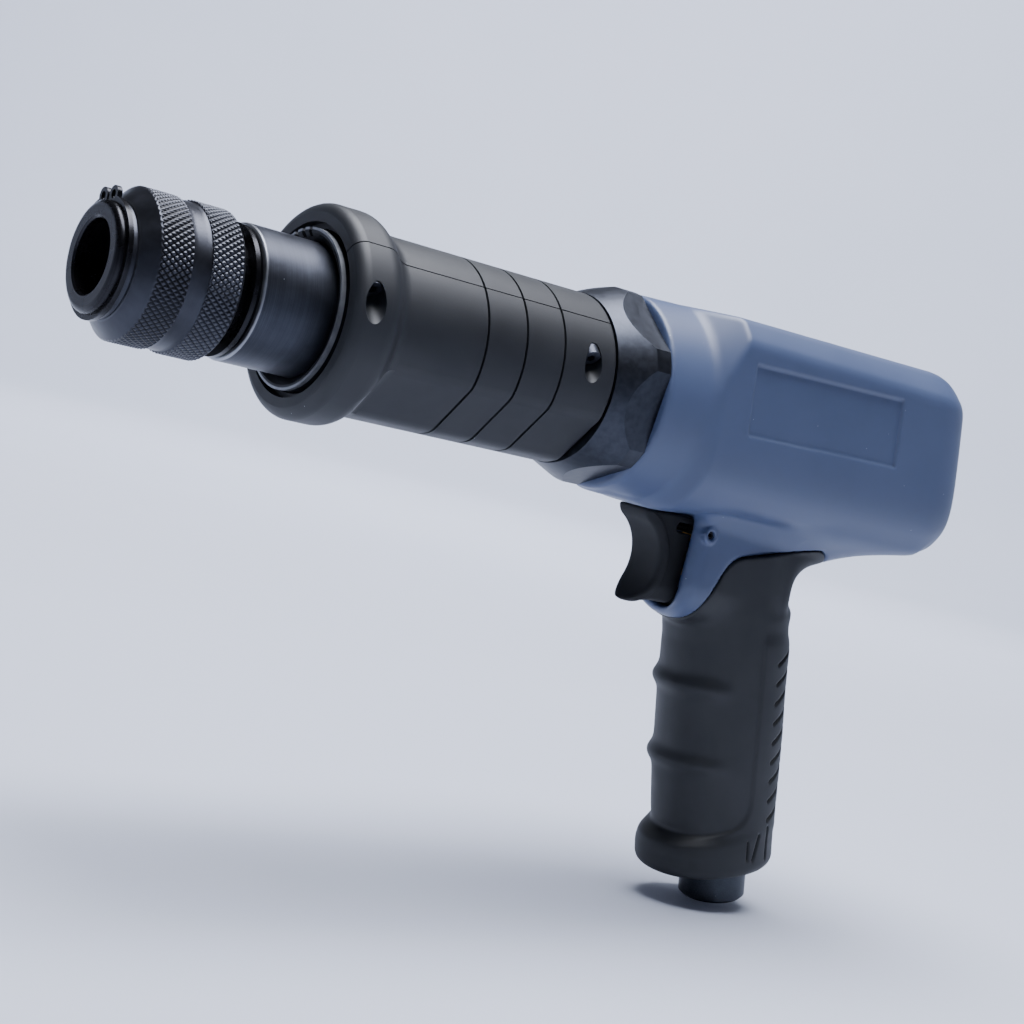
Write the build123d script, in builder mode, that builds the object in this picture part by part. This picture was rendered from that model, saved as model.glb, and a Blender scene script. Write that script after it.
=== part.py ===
from build123d import *
import os
from math import atan, cos, radians, sin, sqrt, tan

# Air hammer with a pistol handle, in millimetres.
# +X runs forward out of the muzzle along the barrel axis, +Y is the tool's left, +Z is up.
# The origin is on the barrel axis, at the front end of the bore that takes the chisel's shank.

os.makedirs("parts", exist_ok=True)

# Fits
thread_gap = 0.05
running_gap = 0.05
slide_gap = 0.4
face_gap = 0.3

# Chisel bore, mouth and nose of the retainer
shank_radius = 5.15
shank_length = 55.0
mouth_radius = 9.0
mouth_depth = 20.5
mouth_lip = 0.5
retainer_radius = 13.0
rim_radius = 13.45
rim_width = 1.9
rim_round = 1.6
seat_radius = 16.2
seat_width = 1.2
seat_neck_radius = 13.4
seat_neck_length = 2.8
ring_groove_depth = 0.8

# Snap ring with two eyes for the pliers
snap_width = 1.2
snap_height = 2.5
snap_gap = 1.0
snap_eye_radius = 2.1
snap_eye_hole = 1.05
snap_eye_sink = 0.1
snap_turn = 8.0

# Sliding sleeve of the retainer
sleeve_radius = 18.5
sleeve_length = 27.1
sleeve_hub_radius = 13.9
sleeve_hub_length = 1.3
sleeve_front_radius = 14.2
sleeve_cone_length = 3.9
knurl_front_length = 8.0
knurl_band_length = 5.0
knurl_band_depth = 0.6
sleeve_chamfer = 0.85
sleeve_skirt_radius = 17.4
sleeve_travel = 4.5

# Locking balls
ball_count = 3
ball_radius = 3.2
ball_x = 6.0
ball_reach = 1.4
ball_travel = 1.5
ball_gap = 0.15
cam_tail = 3.0
cam_rest = 1.2

# Retainer spring
retainer_wire = 0.55
retainer_turns = 3
spring_end_gap = 0.1
spring_wall = 2.5

# Lock ring behind the retainer
lock_radius = 16.5
lock_width = 2.4
lock_lip = 1.2
lock_neck_radius = 14.0

# Barrel
nose_radius = 11.0
nose_length = 16.0
tube_radius = 17.0
tube_round = 0.8
piston_bore = 9.525
barrel_collar_radius = 21.0
barrel_collar_width = 3.0
barrel_tail_radius = 17.5
barrel_tail_length = 45.0
exhaust_hole_radius = 2.5
exhaust_hole_count = 4
exhaust_behind_bore = 24.0

# Piston
piston_length = 40.0
piston_land = 6.0
piston_waist = 0.6
piston_rear_room = 2.0
piston_front_room = 1.0

# Front grip: two half shells that turn on the barrel
grip_front = -36.0
grip_rear = -119.9
guard_radius = 27.3
guard_width = 9.0
guard_face_radius = 24.6
guard_nose = 3.0
guard_nose_bulge = 0.7
guard_fillet = 8.5
grip_radius = 23.5
grip_flat = 21.7
grip_flat_round = 7.0
grip_end_round = 0.9
grip_mouth_radius = 22.1
grip_mouth_depth = 2.3
grip_socket_radius = 20.7
grip_socket_depth = 16.5
grip_rear_socket_radius = 20.3
grip_rear_socket_depth = 4.4
grip_seam_angle = 45.0
grip_seam_gap = 0.34
groove_count = 3
groove_first = -77.5
groove_pitch = 12.5
groove_width = 0.75
groove_depth = 0.9

# Screws and nuts that hold the half shells together
screw_front_x = -40.6
screw_rear_x = -112.0
screw_front_offset = 22.5
screw_rear_offset = 19.5
screw_radius = 1.5
screw_hole_radius = 1.65
screw_head_radius = 2.55
screw_head_height = 3.0
screw_pocket_radius = 2.85
screw_seat = 7.6
screw_socket = 1.25
screw_nut_height = 1.8
nut_seat = 4.7
nut_pocket_radius = 2.7

# Ring nut and rubber dampers at the ends of the front grip
ring_nut_radius = 20.4
ring_nut_front = -34.9
ring_nut_width = 9.1
ring_nut_dish = 1.6
ring_nut_rim = 1.2
ring_slot_count = 3
ring_slot_width = 1.3
ring_slot_first = -4.0
ring_slot_pitch = -9.4
damper_radius = 20.2
rear_damper_radius = 19.8

# Hex nut that clamps the barrel to the housing
nut_front_radius = 23.6
nut_radius = 27.6
nut_flat = 25.3
nut_cone_length = 10.2
nut_length = 15.3
nut_turn = 8.0
nut_front_gap = 0.4
nut_lip = 3.6

# Air motor casing inside the housing
casing_spigot_radius = 22.0
casing_radius = 24.0
casing_length = 71.3
casing_wall = 5.0
casing_port_room = 8.2

# Valve pack behind the barrel
valve_base_width = 6.0
valve_room = 2.6
valve_disc_width = 1.6
valve_disc_radius = 11.0
valve_cap_width = 9.0
valve_port_radius = 2.0
valve_port_circle = 7.0
valve_port_count = 6
tail_seal_wire = 1.3
tail_seal_behind = 8.0

# Rubber buffer behind the casing
buffer_radius = 19.0
buffer_width = 6.0

# Housing body: a round nose that swells to a flat sided block
body_front_radius = 27.8
body_nose_length = 15.0
body_nose_radius = 29.4
body_swell_length = 11.0
body_corner_radius = 37.0
body_low_corner_radius = 33.4
body_half_width = 30.5
body_top_front = 27.3
body_top_rear = 28.9
body_bottom = 27.4
body_rear = -261.0
body_rear_rake = 10.5
body_rear_round = 12.0
body_top_round = 20.0
body_low_round = 16.0
body_end_length = 32.0
body_end_radius = 28.5
body_end_round = 0.6

# Bare name plate recess in the side of the body: its ends lean forward, its long edges rise to the rear
plate_length = 59.8
plate_height = 19.2
plate_front = -163.2
plate_low = -2.4
plate_lean = 7.2
plate_tilt = 1.5
plate_depth = 0.7
plate_round = 0.8

# Handle: raked back from the square to the barrel
handle_rake = 12.5
handle_behind = 22.0
handle_bottom = 134.0
handle_half = 16.0
handle_foot_half = 17.4
handle_round = 4.0
core_half = 12.5
core_front_top = 20.0
core_front_bottom = 17.0
core_rear = 15.0
core_top = 30.0
core_bottom_wall = 5.0

# Neck that joins handle, trigger slot and body
neck_front = -172.0
neck_top = -20.0
neck_low = -62.0
neck_curl = 13.0
neck_width = 29.0
neck_edge = 5.0
neck_rubber = 2.5
web_low_behind = 42.3
web_low_z = -46.0
web_bend_behind = 46.6
web_bend_z = -38.2
web_middle_behind = 55.5
web_middle_z = -33.6
web_rear_behind = 80.0
web_rear_z = -24.3
web_round = 7.0

# Edge of the rubber on the neck
rubber_under = 5.0
rubber_low_behind = 1.5
rubber_edge_behind = 13.8
rubber_edge_top = -38.1
rubber_rear_behind = 45.5
rubber_edge_rear_top = -30.2
rubber_edge_round = 8.0
rubber_tip_round = 3.0

# Trigger and its slot
slot_width = 16.6
slot_top = -29.4
slot_low = -57.6
slot_depth = 8.0
trigger_side_gap = 1.0
trigger_top_gap = 0.6
trigger_top_reach = 15.0
trigger_waist_reach = 6.5
trigger_waist_z = -42.5
trigger_toe_reach = 11.6
trigger_toe_z = -55.3
trigger_lip = 2.5
trigger_travel = 4.5
pin_radius = 1.2
pin_bore = 0.6
pin_behind = 3.15
pin_z = -33.0
pin_slit = 0.4
pin_recess = 0.8
boss_radius = 2.5
boss_half = 14.9
notch_gap = 0.3

# Throttle valve
throttle_z = -40.5
stem_radius = 2.4
stem_socket = 6.0
valve_head_radius = 4.6
valve_head_width = 2.4
bushing_radius = 6.4
bushing_width = 13.7
bushing_bore = 3.6
bushing_waist = 5.0
bushing_land = 1.0
stem_seal_wire = 0.9
chamber_length = 30.7
chamber_wall = 2.0
throttle_wire = 0.55
throttle_turns = 5
throttle_coil = 3.6

# Air way and inlet bushing
air_way_radius = 6.0
port_radius = 3.5
inlet_radius = 10.1
inlet_length = 10.5
inlet_spigot_radius = 8.6
inlet_spigot_length = 20.0
inlet_thread_radius = 5.75
inlet_thread_length = 14.0
inlet_bore = 4.5
inlet_chamfer = 0.8
inlet_recess = 0.8
screen_width = 1.6
screen_hole = 0.8
screen_hole_pitch = 2.4
screen_rows = 5
inlet_seal_wire = 1.1
inlet_seal_behind = 6.0


# Round pieces are turned about the barrel axis from an outline of (x, radius) points.
def turned(points):
    with BuildPart() as piece:
        with BuildSketch(Plane.XZ):
            with BuildLine():
                Polyline(*points, close=True)
            make_face()
        revolve(axis=Axis.X)
    return piece.part


# A rubber seal: a ring of round section, centred on an axis through a plane's origin.
def seal_ring(plane, ring_radius, wire_radius):
    side = Plane(plane.origin, x_dir=plane.x_dir, z_dir=plane.y_dir)
    with BuildPart() as piece:
        with BuildSketch(side):
            with Locations((ring_radius, 0)):
                Circle(wire_radius)
        revolve(axis=Axis(plane.origin, plane.z_dir))
    return piece.part


# A coil spring along a plane's normal. Each half turn is two tangent arcs that meet at its middle.
def coil_spring(plane, coil_radius, wire_radius, length, turns):
    halves = 2 * turns
    rise = (length - 2 * wire_radius) / halves

    def place(half):
        turn = radians(180 * half)
        spot = (coil_radius * cos(turn), coil_radius * sin(turn), wire_radius + rise * half)
        return plane.from_local_coords(Vector(*spot))

    def heading(half):
        turn = radians(180 * half)
        run = radians(180) * coil_radius
        way = Vector(-run * sin(turn), run * cos(turn), rise).normalized()
        return (plane.from_local_coords(way) - plane.origin).normalized()

    with BuildPart() as piece:
        with BuildLine() as path:
            for quarter in range(2 * halves):
                start, end = place(quarter / 2), place((quarter + 1) / 2)
                leave, arrive = heading(quarter / 2), heading((quarter + 1) / 2)
                chord = end - start
                spread = leave + arrive
                square = 2 * (1 - leave.dot(arrive))
                along = chord.dot(spread)
                reach = (-along + sqrt(along ** 2 + square * chord.dot(chord))) / square
                middle = (start + end + (leave - arrive) * reach) * 0.5
                TangentArc(start, middle, tangent=leave)
                between = (end - start - spread * reach).normalized()
                TangentArc(middle, end, tangent=between)
        with BuildSketch(Plane(place(0), z_dir=heading(0))):
            Circle(wire_radius)
        sweep(path=path.line)
    return piece.part


# How far apart neighbouring turns of a spring are, surface to surface
def turn_gap(length, turns, wire_radius):
    return (length - 2 * wire_radius) / turns - 2 * wire_radius


# Stations along the barrel, worked out from the driving sizes
snap_front = mouth_depth - rim_width
snap_rear = snap_front - snap_width
sleeve_front = snap_rear - face_gap
sleeve_rear = sleeve_front - sleeve_length
tube_front = -nose_length
lock_front = tube_front + lock_width
seat_rear = lock_front + seat_neck_length
seat_front = seat_rear + seat_width
ball_center = mouth_radius + ball_radius - ball_reach
cam_slope = ball_travel / sleeve_travel
cam_radius = ball_center + (ball_radius + ball_gap) / cos(atan(cam_slope))
cam_front = ball_x + sleeve_travel
cam_rear = ball_x - cam_tail
lip_rear = ball_x + ball_radius + sleeve_travel + face_gap
sleeve_bore = retainer_radius + slide_gap
spring_front = cam_rear - spring_wall
nut_front = grip_rear - nut_front_gap
nut_rear = nut_front - nut_length
collar_front = nut_front - nut_lip
collar_rear = collar_front - barrel_collar_width
barrel_rear = collar_rear - barrel_tail_length
bore_front = -shank_length
seal_x = collar_rear - tail_seal_behind
seal_half = tail_seal_wire + thread_gap
tail_groove_radius = barrel_tail_radius - 2 * tail_seal_wire

# Retainer body: the nose that the chisel goes into, screwed on the barrel
with BuildPart() as retainer_body:
    add(turned([
        (mouth_depth, mouth_radius + mouth_lip), (mouth_depth, rim_radius), (snap_front, rim_radius),
        (snap_front, retainer_radius - ring_groove_depth), (snap_rear, retainer_radius - ring_groove_depth),
        (snap_rear, retainer_radius), (seat_front, retainer_radius), (seat_front, seat_radius),
        (seat_rear, seat_radius), (seat_rear, seat_neck_radius), (lock_front, seat_neck_radius),
        (lock_front, nose_radius + thread_gap), (0, nose_radius + thread_gap),
        (0, mouth_radius), (mouth_depth - mouth_lip, mouth_radius)]))
    rim_edges = retainer_body.edges().filter_by(GeomType.CIRCLE).group_by(Axis.X)[-1]
    fillet(rim_edges.sort_by(SortBy.RADIUS)[-1], rim_round)
    for ball in range(ball_count):
        turn = 360 * ball / ball_count
        out = (0, sin(radians(turn)), cos(radians(turn)))
        with BuildSketch(Plane((ball_x, 0, 0), x_dir=(1, 0, 0), z_dir=out)):
            Circle(ball_radius + running_gap)
        extrude(amount=seat_radius, mode=Mode.SUBTRACT)
retainer_body.part.label = "retainer_body"
export_step(retainer_body.part, "parts/retainer_body.step")

# Locking balls: steel balls that reach into the mouth in front of the chisel's collar
for ball in range(ball_count):
    turn = 360 * ball / ball_count
    with BuildPart() as locking_ball:
        with Locations((ball_x, ball_center * sin(radians(turn)), ball_center * cos(radians(turn)))):
            Sphere(ball_radius)
    locking_ball.part.label = f"retainer_ball_{ball + 1}"
    export_step(locking_ball.part, f"parts/retainer_ball_{ball + 1}.step")

# Retainer sleeve: pulled back by hand to free the balls; its inner cone follows them outward
with BuildPart() as retainer_sleeve:
    cone_front = sleeve_front - sleeve_hub_length
    knurl_front = cone_front - sleeve_cone_length
    band_front = knurl_front - knurl_front_length
    band_rear = band_front - knurl_band_length
    add(turned([
        (sleeve_front, sleeve_bore), (sleeve_front, sleeve_hub_radius), (cone_front, sleeve_hub_radius),
        (cone_front, sleeve_front_radius), (knurl_front, sleeve_radius),
        (band_front, sleeve_radius), (band_front, sleeve_radius - knurl_band_depth),
        (band_rear, sleeve_radius - knurl_band_depth), (band_rear, sleeve_radius),
        (sleeve_rear + sleeve_chamfer, sleeve_radius), (sleeve_rear, sleeve_radius - sleeve_chamfer),
        (sleeve_rear, sleeve_skirt_radius), (spring_front, sleeve_skirt_radius), (spring_front, sleeve_bore),
        (cam_rear, sleeve_bore), (cam_rear, cam_radius - cam_slope * cam_tail),
        (cam_front, cam_radius + ball_travel), (cam_front + cam_rest, cam_radius + ball_travel),
        (lip_rear, sleeve_bore)]))
retainer_sleeve.part.label = "retainer_sleeve"
export_step(retainer_sleeve.part, "parts/retainer_sleeve.step")

# Snap ring: stops the sleeve from sliding off, with two drilled eyes at its gap
with BuildPart() as retainer_snap_ring:
    snap_inner = retainer_radius - ring_groove_depth + running_gap
    snap_outer = snap_inner + snap_height
    eye_place = snap_gap / 2 + snap_eye_radius
    eye_height = snap_outer - snap_eye_sink
    snap_side = (0, cos(radians(snap_turn)), sin(radians(snap_turn)))
    with BuildSketch(Plane((snap_rear, 0, 0), x_dir=snap_side, z_dir=(1, 0, 0))):
        Circle(snap_outer)
        with Locations((-eye_place, eye_height), (eye_place, eye_height)):
            Circle(snap_eye_radius)
        Circle(snap_inner, mode=Mode.SUBTRACT)
        with Locations((0, snap_outer)):
            Rectangle(snap_gap, 2 * snap_height + snap_eye_radius, mode=Mode.SUBTRACT)
        with Locations((-eye_place, eye_height), (eye_place, eye_height)):
            Circle(snap_eye_hole, mode=Mode.SUBTRACT)
    extrude(amount=snap_width)
retainer_snap_ring.part.label = "retainer_snap_ring"
export_step(retainer_snap_ring.part, "parts/retainer_snap_ring.step")

# Retainer spring: pushes the sleeve forward against the snap ring
spring_length = spring_front - seat_front - 2 * spring_end_gap
coil_middle = (retainer_radius + sleeve_skirt_radius) / 2
spring_plane = Plane((seat_front + spring_end_gap, 0, 0), x_dir=(0, 0, 1), z_dir=(1, 0, 0))
retainer_spring = coil_spring(spring_plane, coil_middle, retainer_wire, spring_length, retainer_turns)
retainer_spring.label = "retainer_spring"
export_step(retainer_spring, "parts/retainer_spring.step")
print("retainer spring gap", round(turn_gap(spring_length, retainer_turns, retainer_wire), 2))

# Lock ring: a necked washer clamped between retainer and barrel
lock_hole = nose_radius + thread_gap
with BuildPart() as retainer_lock_ring:
    add(turned([
        (lock_front, lock_hole), (lock_front, lock_radius), (lock_front - lock_lip, lock_radius),
        (lock_front - lock_lip, lock_neck_radius), (tube_front, lock_neck_radius), (tube_front, lock_hole)]))
retainer_lock_ring.part.label = "retainer_lock_ring"
export_step(retainer_lock_ring.part, "parts/retainer_lock_ring.step")

# Barrel: nose, tube, clamping collar and tail in one turned piece of steel
with BuildPart() as barrel:
    add(turned([
        (0, shank_radius), (0, nose_radius), (tube_front, nose_radius), (tube_front, tube_radius),
        (collar_front, tube_radius), (collar_front, barrel_collar_radius),
        (collar_rear, barrel_collar_radius), (collar_rear, barrel_tail_radius),
        (seal_x + seal_half, barrel_tail_radius), (seal_x + seal_half, tail_groove_radius),
        (seal_x - seal_half, tail_groove_radius), (seal_x - seal_half, barrel_tail_radius),
        (barrel_rear, barrel_tail_radius), (barrel_rear, piston_bore), (bore_front, piston_bore),
        (bore_front, shank_radius)]))
    tube_edge = barrel.edges().filter_by(GeomType.CIRCLE).filter_by(
        lambda edge: abs(edge.center().X - tube_front) < 0.01 and abs(edge.radius - tube_radius) < 0.01)
    fillet(tube_edge, tube_round)
    for hole in range(exhaust_hole_count):
        turn = 360 * hole / exhaust_hole_count
        out = (0, sin(radians(turn)), cos(radians(turn)))
        with BuildSketch(Plane((bore_front - exhaust_behind_bore, 0, 0), x_dir=(1, 0, 0), z_dir=out)):
            Circle(exhaust_hole_radius)
        extrude(amount=2 * tube_radius, mode=Mode.SUBTRACT)
barrel.part.label = "barrel"
export_step(barrel.part, "parts/barrel.step")

# Piston: the hammer that flies up and down the bore, waisted between two lands
piston_rear = barrel_rear + piston_rear_room
piston_front = piston_rear + piston_length
piston_radius = piston_bore - running_gap
with BuildPart() as piston:
    add(turned([
        (piston_rear, 0), (piston_rear, piston_radius), (piston_rear + piston_land, piston_radius),
        (piston_rear + piston_land, piston_radius - piston_waist),
        (piston_front - piston_land, piston_radius - piston_waist),
        (piston_front - piston_land, piston_radius), (piston_front, piston_radius), (piston_front, 0)]))
piston.part.label = "piston"
export_step(piston.part, "parts/piston.step")
print("piston stroke", round(bore_front - piston_front - piston_front_room, 2))

# Directions across the front grip's parting plane: along the seam and square to it
seam = (0, sin(radians(grip_seam_angle)), cos(radians(grip_seam_angle)))
square = (0, cos(radians(grip_seam_angle)), -sin(radians(grip_seam_angle)))
guard_rear = grip_front - guard_width
grip_bore = tube_radius + face_gap
socket_rear = grip_front - grip_socket_depth
rear_socket = grip_rear + grip_rear_socket_depth
screw_places = [
    (screw_front_x, screw_front_offset), (screw_front_x, -screw_front_offset),
    (screw_rear_x, screw_rear_offset), (screw_rear_x, -screw_rear_offset)]


# A plane across a grip screw: its normal points out of the lower shell, its origin is on the seam
def screw_plane(place):
    along, offset = place
    return Plane((along, offset * seam[1], offset * seam[2]), x_dir=(1, 0, 0), z_dir=square)


# Whole front grip before it is parted: hand guard, sleeve with two flats, sockets, grooves, screw holes
body_front = guard_rear - guard_fillet
with BuildPart() as front_grip:
    with BuildSketch(Plane.XZ):
        with BuildLine():
            Line((grip_front, 0), (grip_front, guard_face_radius))
            SagittaArc(
                (grip_front, guard_face_radius), (grip_front - guard_nose, guard_radius), -guard_nose_bulge)
            Line((grip_front - guard_nose, guard_radius), (guard_rear, guard_radius))
            Spline((guard_rear, guard_radius), (body_front, grip_radius), tangents=[(-1, 0), (-1, 0)])
            Polyline((body_front, grip_radius), (body_front, 0), (grip_front, 0))
        make_face()
    revolve(axis=Axis.X)
    for side in (1, -1):
        flat_plane = Plane((0, 0, 0), x_dir=(1, 0, 0), z_dir=seam)
        with BuildSketch(flat_plane):
            reach = -side
            with BuildLine():
                flat_start = (body_front, reach * grip_flat)
                Spline((guard_rear, reach * guard_radius), flat_start, tangents=[(-1, 0), (-1, 0)])
                Polyline(
                    flat_start, (2 * grip_rear, reach * grip_flat), (2 * grip_rear, reach * 2 * guard_radius),
                    (guard_rear, reach * 2 * guard_radius), (guard_rear, reach * guard_radius))
            make_face()
        extrude(amount=guard_radius, both=True, mode=Mode.SUBTRACT)
    with BuildSketch(Plane.YZ.offset(body_front)) as grip_section:
        Circle(grip_radius)
        Rectangle(2 * guard_radius, 2 * grip_flat, rotation=grip_seam_angle, mode=Mode.INTERSECT)
        fillet(grip_section.vertices(), grip_flat_round)
    extrude(amount=grip_rear - body_front)
    fillet(front_grip.faces().sort_by(Axis.X)[0].edges(), grip_end_round)
    with BuildSketch(Plane.XZ):
        with BuildLine():
            mouth_floor = grip_front - grip_mouth_depth
            Polyline(
                (grip_front, 0), (grip_front, grip_mouth_radius), (mouth_floor, grip_mouth_radius),
                (mouth_floor, grip_socket_radius), (socket_rear, grip_socket_radius),
                (socket_rear, grip_bore), (rear_socket, grip_bore), (rear_socket, grip_rear_socket_radius),
                (grip_rear, grip_rear_socket_radius), (grip_rear, 0), close=True)
        make_face()
    revolve(axis=Axis.X, mode=Mode.SUBTRACT)
    for groove in range(groove_count):
        with BuildSketch(Plane.YZ.offset(groove_first - groove * groove_pitch)):
            Circle(guard_radius)
            with BuildSketch(mode=Mode.SUBTRACT) as groove_floor:
                Circle(grip_radius - groove_depth)
                Rectangle(
                    2 * guard_radius, 2 * (grip_flat - groove_depth), rotation=grip_seam_angle,
                    mode=Mode.INTERSECT)
                fillet(groove_floor.vertices(), grip_flat_round)
        extrude(amount=groove_width, mode=Mode.SUBTRACT)
    for place in screw_places:
        with BuildSketch(screw_plane(place).offset(screw_seat)):
            Circle(screw_pocket_radius)
        extrude(amount=2 * guard_radius, mode=Mode.SUBTRACT)
        with BuildSketch(screw_plane(place).offset(-nut_seat)):
            Circle(nut_pocket_radius)
        extrude(amount=-screw_nut_height - face_gap, mode=Mode.SUBTRACT)
        with BuildSketch(screw_plane(place).offset(-nut_seat)):
            Circle(screw_hole_radius)
        extrude(amount=nut_seat + screw_seat, mode=Mode.SUBTRACT)

# Front grip half shells: the whole grip parted along its seam
parting = Plane((0, 0, 0), x_dir=(1, 0, 0), z_dir=square)
with BuildPart() as front_grip_lower:
    add(front_grip.part)
    split(bisect_by=parting.offset(grip_seam_gap / 2), keep=Keep.TOP)
front_grip_lower.part.label = "front_grip_lower"
export_step(front_grip_lower.part, "parts/front_grip_lower.step")

with BuildPart() as front_grip_upper:
    add(front_grip.part)
    split(bisect_by=parting.offset(-grip_seam_gap / 2), keep=Keep.BOTTOM)
front_grip_upper.part.label = "front_grip_upper"
export_step(front_grip_upper.part, "parts/front_grip_upper.step")

# Front grip screws: socket head screws, heads in the lower shell
with BuildPart() as front_grip_screws:
    for place in screw_places:
        with BuildSketch(screw_plane(place).offset(screw_seat)):
            Circle(screw_head_radius)
        extrude(amount=screw_head_height)
        with BuildSketch(screw_plane(place).offset(-nut_seat - screw_nut_height)):
            Circle(screw_radius)
        extrude(amount=nut_seat + screw_seat + screw_nut_height)
        with BuildSketch(screw_plane(place).offset(screw_seat + screw_head_height / 2)):
            RegularPolygon(screw_socket, 6)
        extrude(amount=screw_head_height, mode=Mode.SUBTRACT)
front_grip_screws.part.label = "front_grip_screws"
export_step(front_grip_screws.part, "parts/front_grip_screws.step")

# Front grip nuts: hex nuts moulded into the upper shell
with BuildPart() as front_grip_nuts:
    for place in screw_places:
        with BuildSketch(screw_plane(place).offset(-nut_seat)):
            RegularPolygon(screw_head_radius, 6)
            Circle(screw_radius + thread_gap, mode=Mode.SUBTRACT)
        extrude(amount=-screw_nut_height)
front_grip_nuts.part.label = "front_grip_nuts"
export_step(front_grip_nuts.part, "parts/front_grip_nuts.step")

# Ring nut: dished steel ring on the barrel that keeps the front grip from sliding forward
ring_nut_rear = ring_nut_front - ring_nut_width
with BuildPart() as grip_ring_nut:
    add(turned([
        (ring_nut_front, ring_nut_radius - ring_nut_rim), (ring_nut_front, ring_nut_radius),
        (ring_nut_rear, ring_nut_radius), (ring_nut_rear, tube_radius + thread_gap),
        (ring_nut_front - ring_nut_dish, tube_radius + thread_gap)]))
    for slot in range(ring_slot_count):
        turn = ring_slot_first + slot * ring_slot_pitch
        out = (0, sin(radians(turn)), cos(radians(turn)))
        slot_place = Plane((ring_nut_front, 0, 0), x_dir=out, z_dir=(1, 0, 0))
        with BuildSketch(slot_place):
            with Locations((ring_nut_radius, 0)):
                Rectangle(2 * (ring_nut_radius - tube_radius - ring_nut_rim), ring_slot_width)
        extrude(amount=-ring_nut_dish, mode=Mode.SUBTRACT)
grip_ring_nut.part.label = "grip_ring_nut"
export_step(grip_ring_nut.part, "parts/grip_ring_nut.step")

# Rubber dampers on the barrel: one behind the ring nut, one ahead of the hex nut
front_damper_front = ring_nut_rear
front_damper_rear = socket_rear + face_gap
damper_hole = tube_radius + thread_gap
with BuildPart() as front_damper_ring:
    add(turned([
        (front_damper_front, damper_hole), (front_damper_front, damper_radius),
        (front_damper_rear, damper_radius), (front_damper_rear, damper_hole)]))
front_damper_ring.part.label = "front_damper_ring"
export_step(front_damper_ring.part, "parts/front_damper_ring.step")

with BuildPart() as rear_damper_ring:
    add(turned([
        (rear_socket - face_gap, damper_hole), (rear_socket - face_gap, rear_damper_radius),
        (nut_front, rear_damper_radius), (nut_front, damper_hole)]))
rear_damper_ring.part.label = "rear_damper_ring"
export_step(rear_damper_ring.part, "parts/rear_damper_ring.step")

# Hex nut: its lip draws the barrel's collar against the motor casing
with BuildPart() as housing_nut:
    cone_rear = nut_front - nut_cone_length
    spigot_hole = casing_spigot_radius + thread_gap
    add(turned([
        (nut_front, tube_radius + face_gap), (nut_front, nut_front_radius), (cone_rear, nut_radius),
        (nut_rear, nut_radius), (nut_rear, spigot_hole), (collar_front, spigot_hole),
        (collar_front, tube_radius + face_gap)]))
    with BuildSketch(Plane.YZ.offset(nut_rear)):
        RegularPolygon(nut_flat, 6, major_radius=False, rotation=30 - nut_turn)
    extrude(amount=nut_length, mode=Mode.INTERSECT)
housing_nut.part.label = "housing_nut"
export_step(housing_nut.part, "parts/housing_nut.step")

# Stations of the trigger and throttle
slot_rear = neck_front - slot_depth
pin_x = neck_front - pin_behind
trigger_rear = slot_rear + trigger_travel + face_gap
bushing_rear = slot_rear - bushing_width
throttle_port_x = bushing_rear + port_radius

# Motor casing: aluminium cup that holds the barrel's tail and the valve pack
casing_rear = min(nut_rear - casing_length, throttle_port_x - port_radius - casing_port_room - casing_wall)
casing_floor = casing_rear + casing_wall
casing_bore = barrel_tail_radius + running_gap
with BuildPart() as housing_insert:
    add(turned([
        (collar_rear, casing_bore), (collar_rear, casing_spigot_radius), (nut_rear, casing_spigot_radius),
        (nut_rear, casing_radius), (casing_rear, casing_radius), (casing_rear, 0), (casing_floor, 0),
        (casing_floor, casing_bore)]))
    with BuildSketch(Plane.XY.offset(-2 * casing_radius)):
        with Locations((throttle_port_x, 0)):
            Circle(port_radius)
    extrude(amount=2 * casing_radius, mode=Mode.SUBTRACT)
housing_insert.part.label = "housing_insert"
export_step(housing_insert.part, "parts/housing_insert.step")

# Seal between the barrel's tail and the casing, in the tail's groove
seal_plane = Plane((seal_x, 0, 0), x_dir=(0, 0, 1), z_dir=(1, 0, 0))
barrel_o_ring = seal_ring(seal_plane, barrel_tail_radius - tail_seal_wire, tail_seal_wire)
barrel_o_ring.label = "barrel_o_ring"
export_step(barrel_o_ring, "parts/barrel_o_ring.step")

# Valve pack: ported base, sliding disc and ported cap, stacked behind the barrel
base_rear = barrel_rear - valve_base_width
cap_rear = base_rear - valve_cap_width
pocket_radius = valve_disc_radius + slide_gap
with BuildPart() as valve_base:
    with BuildSketch(Plane.YZ.offset(base_rear)):
        Circle(barrel_tail_radius)
        with PolarLocations(valve_port_circle, valve_port_count):
            Circle(valve_port_radius, mode=Mode.SUBTRACT)
    extrude(amount=valve_base_width)
valve_base.part.label = "valve_base"
export_step(valve_base.part, "parts/valve_base.step")

disc_front = base_rear - face_gap / 2
with BuildPart() as valve_disc:
    with BuildSketch(Plane.YZ.offset(disc_front - valve_disc_width)):
        Circle(valve_disc_radius)
        Circle(valve_port_radius, mode=Mode.SUBTRACT)
    extrude(amount=valve_disc_width)
valve_disc.part.label = "valve_disc"
export_step(valve_disc.part, "parts/valve_disc.step")

with BuildPart() as valve_cap:
    with BuildSketch(Plane.YZ.offset(cap_rear)):
        Circle(barrel_tail_radius)
        with PolarLocations(valve_port_circle, valve_port_count, start_angle=180 / valve_port_count):
            Circle(valve_port_radius, mode=Mode.SUBTRACT)
    extrude(amount=valve_cap_width)
    with BuildSketch(Plane.YZ.offset(base_rear)):
        Circle(pocket_radius)
    extrude(amount=-valve_room, mode=Mode.SUBTRACT)
valve_cap.part.label = "valve_cap"
export_step(valve_cap.part, "parts/valve_cap.step")
print("valve travel", round(valve_room - valve_disc_width - face_gap, 2))

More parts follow.
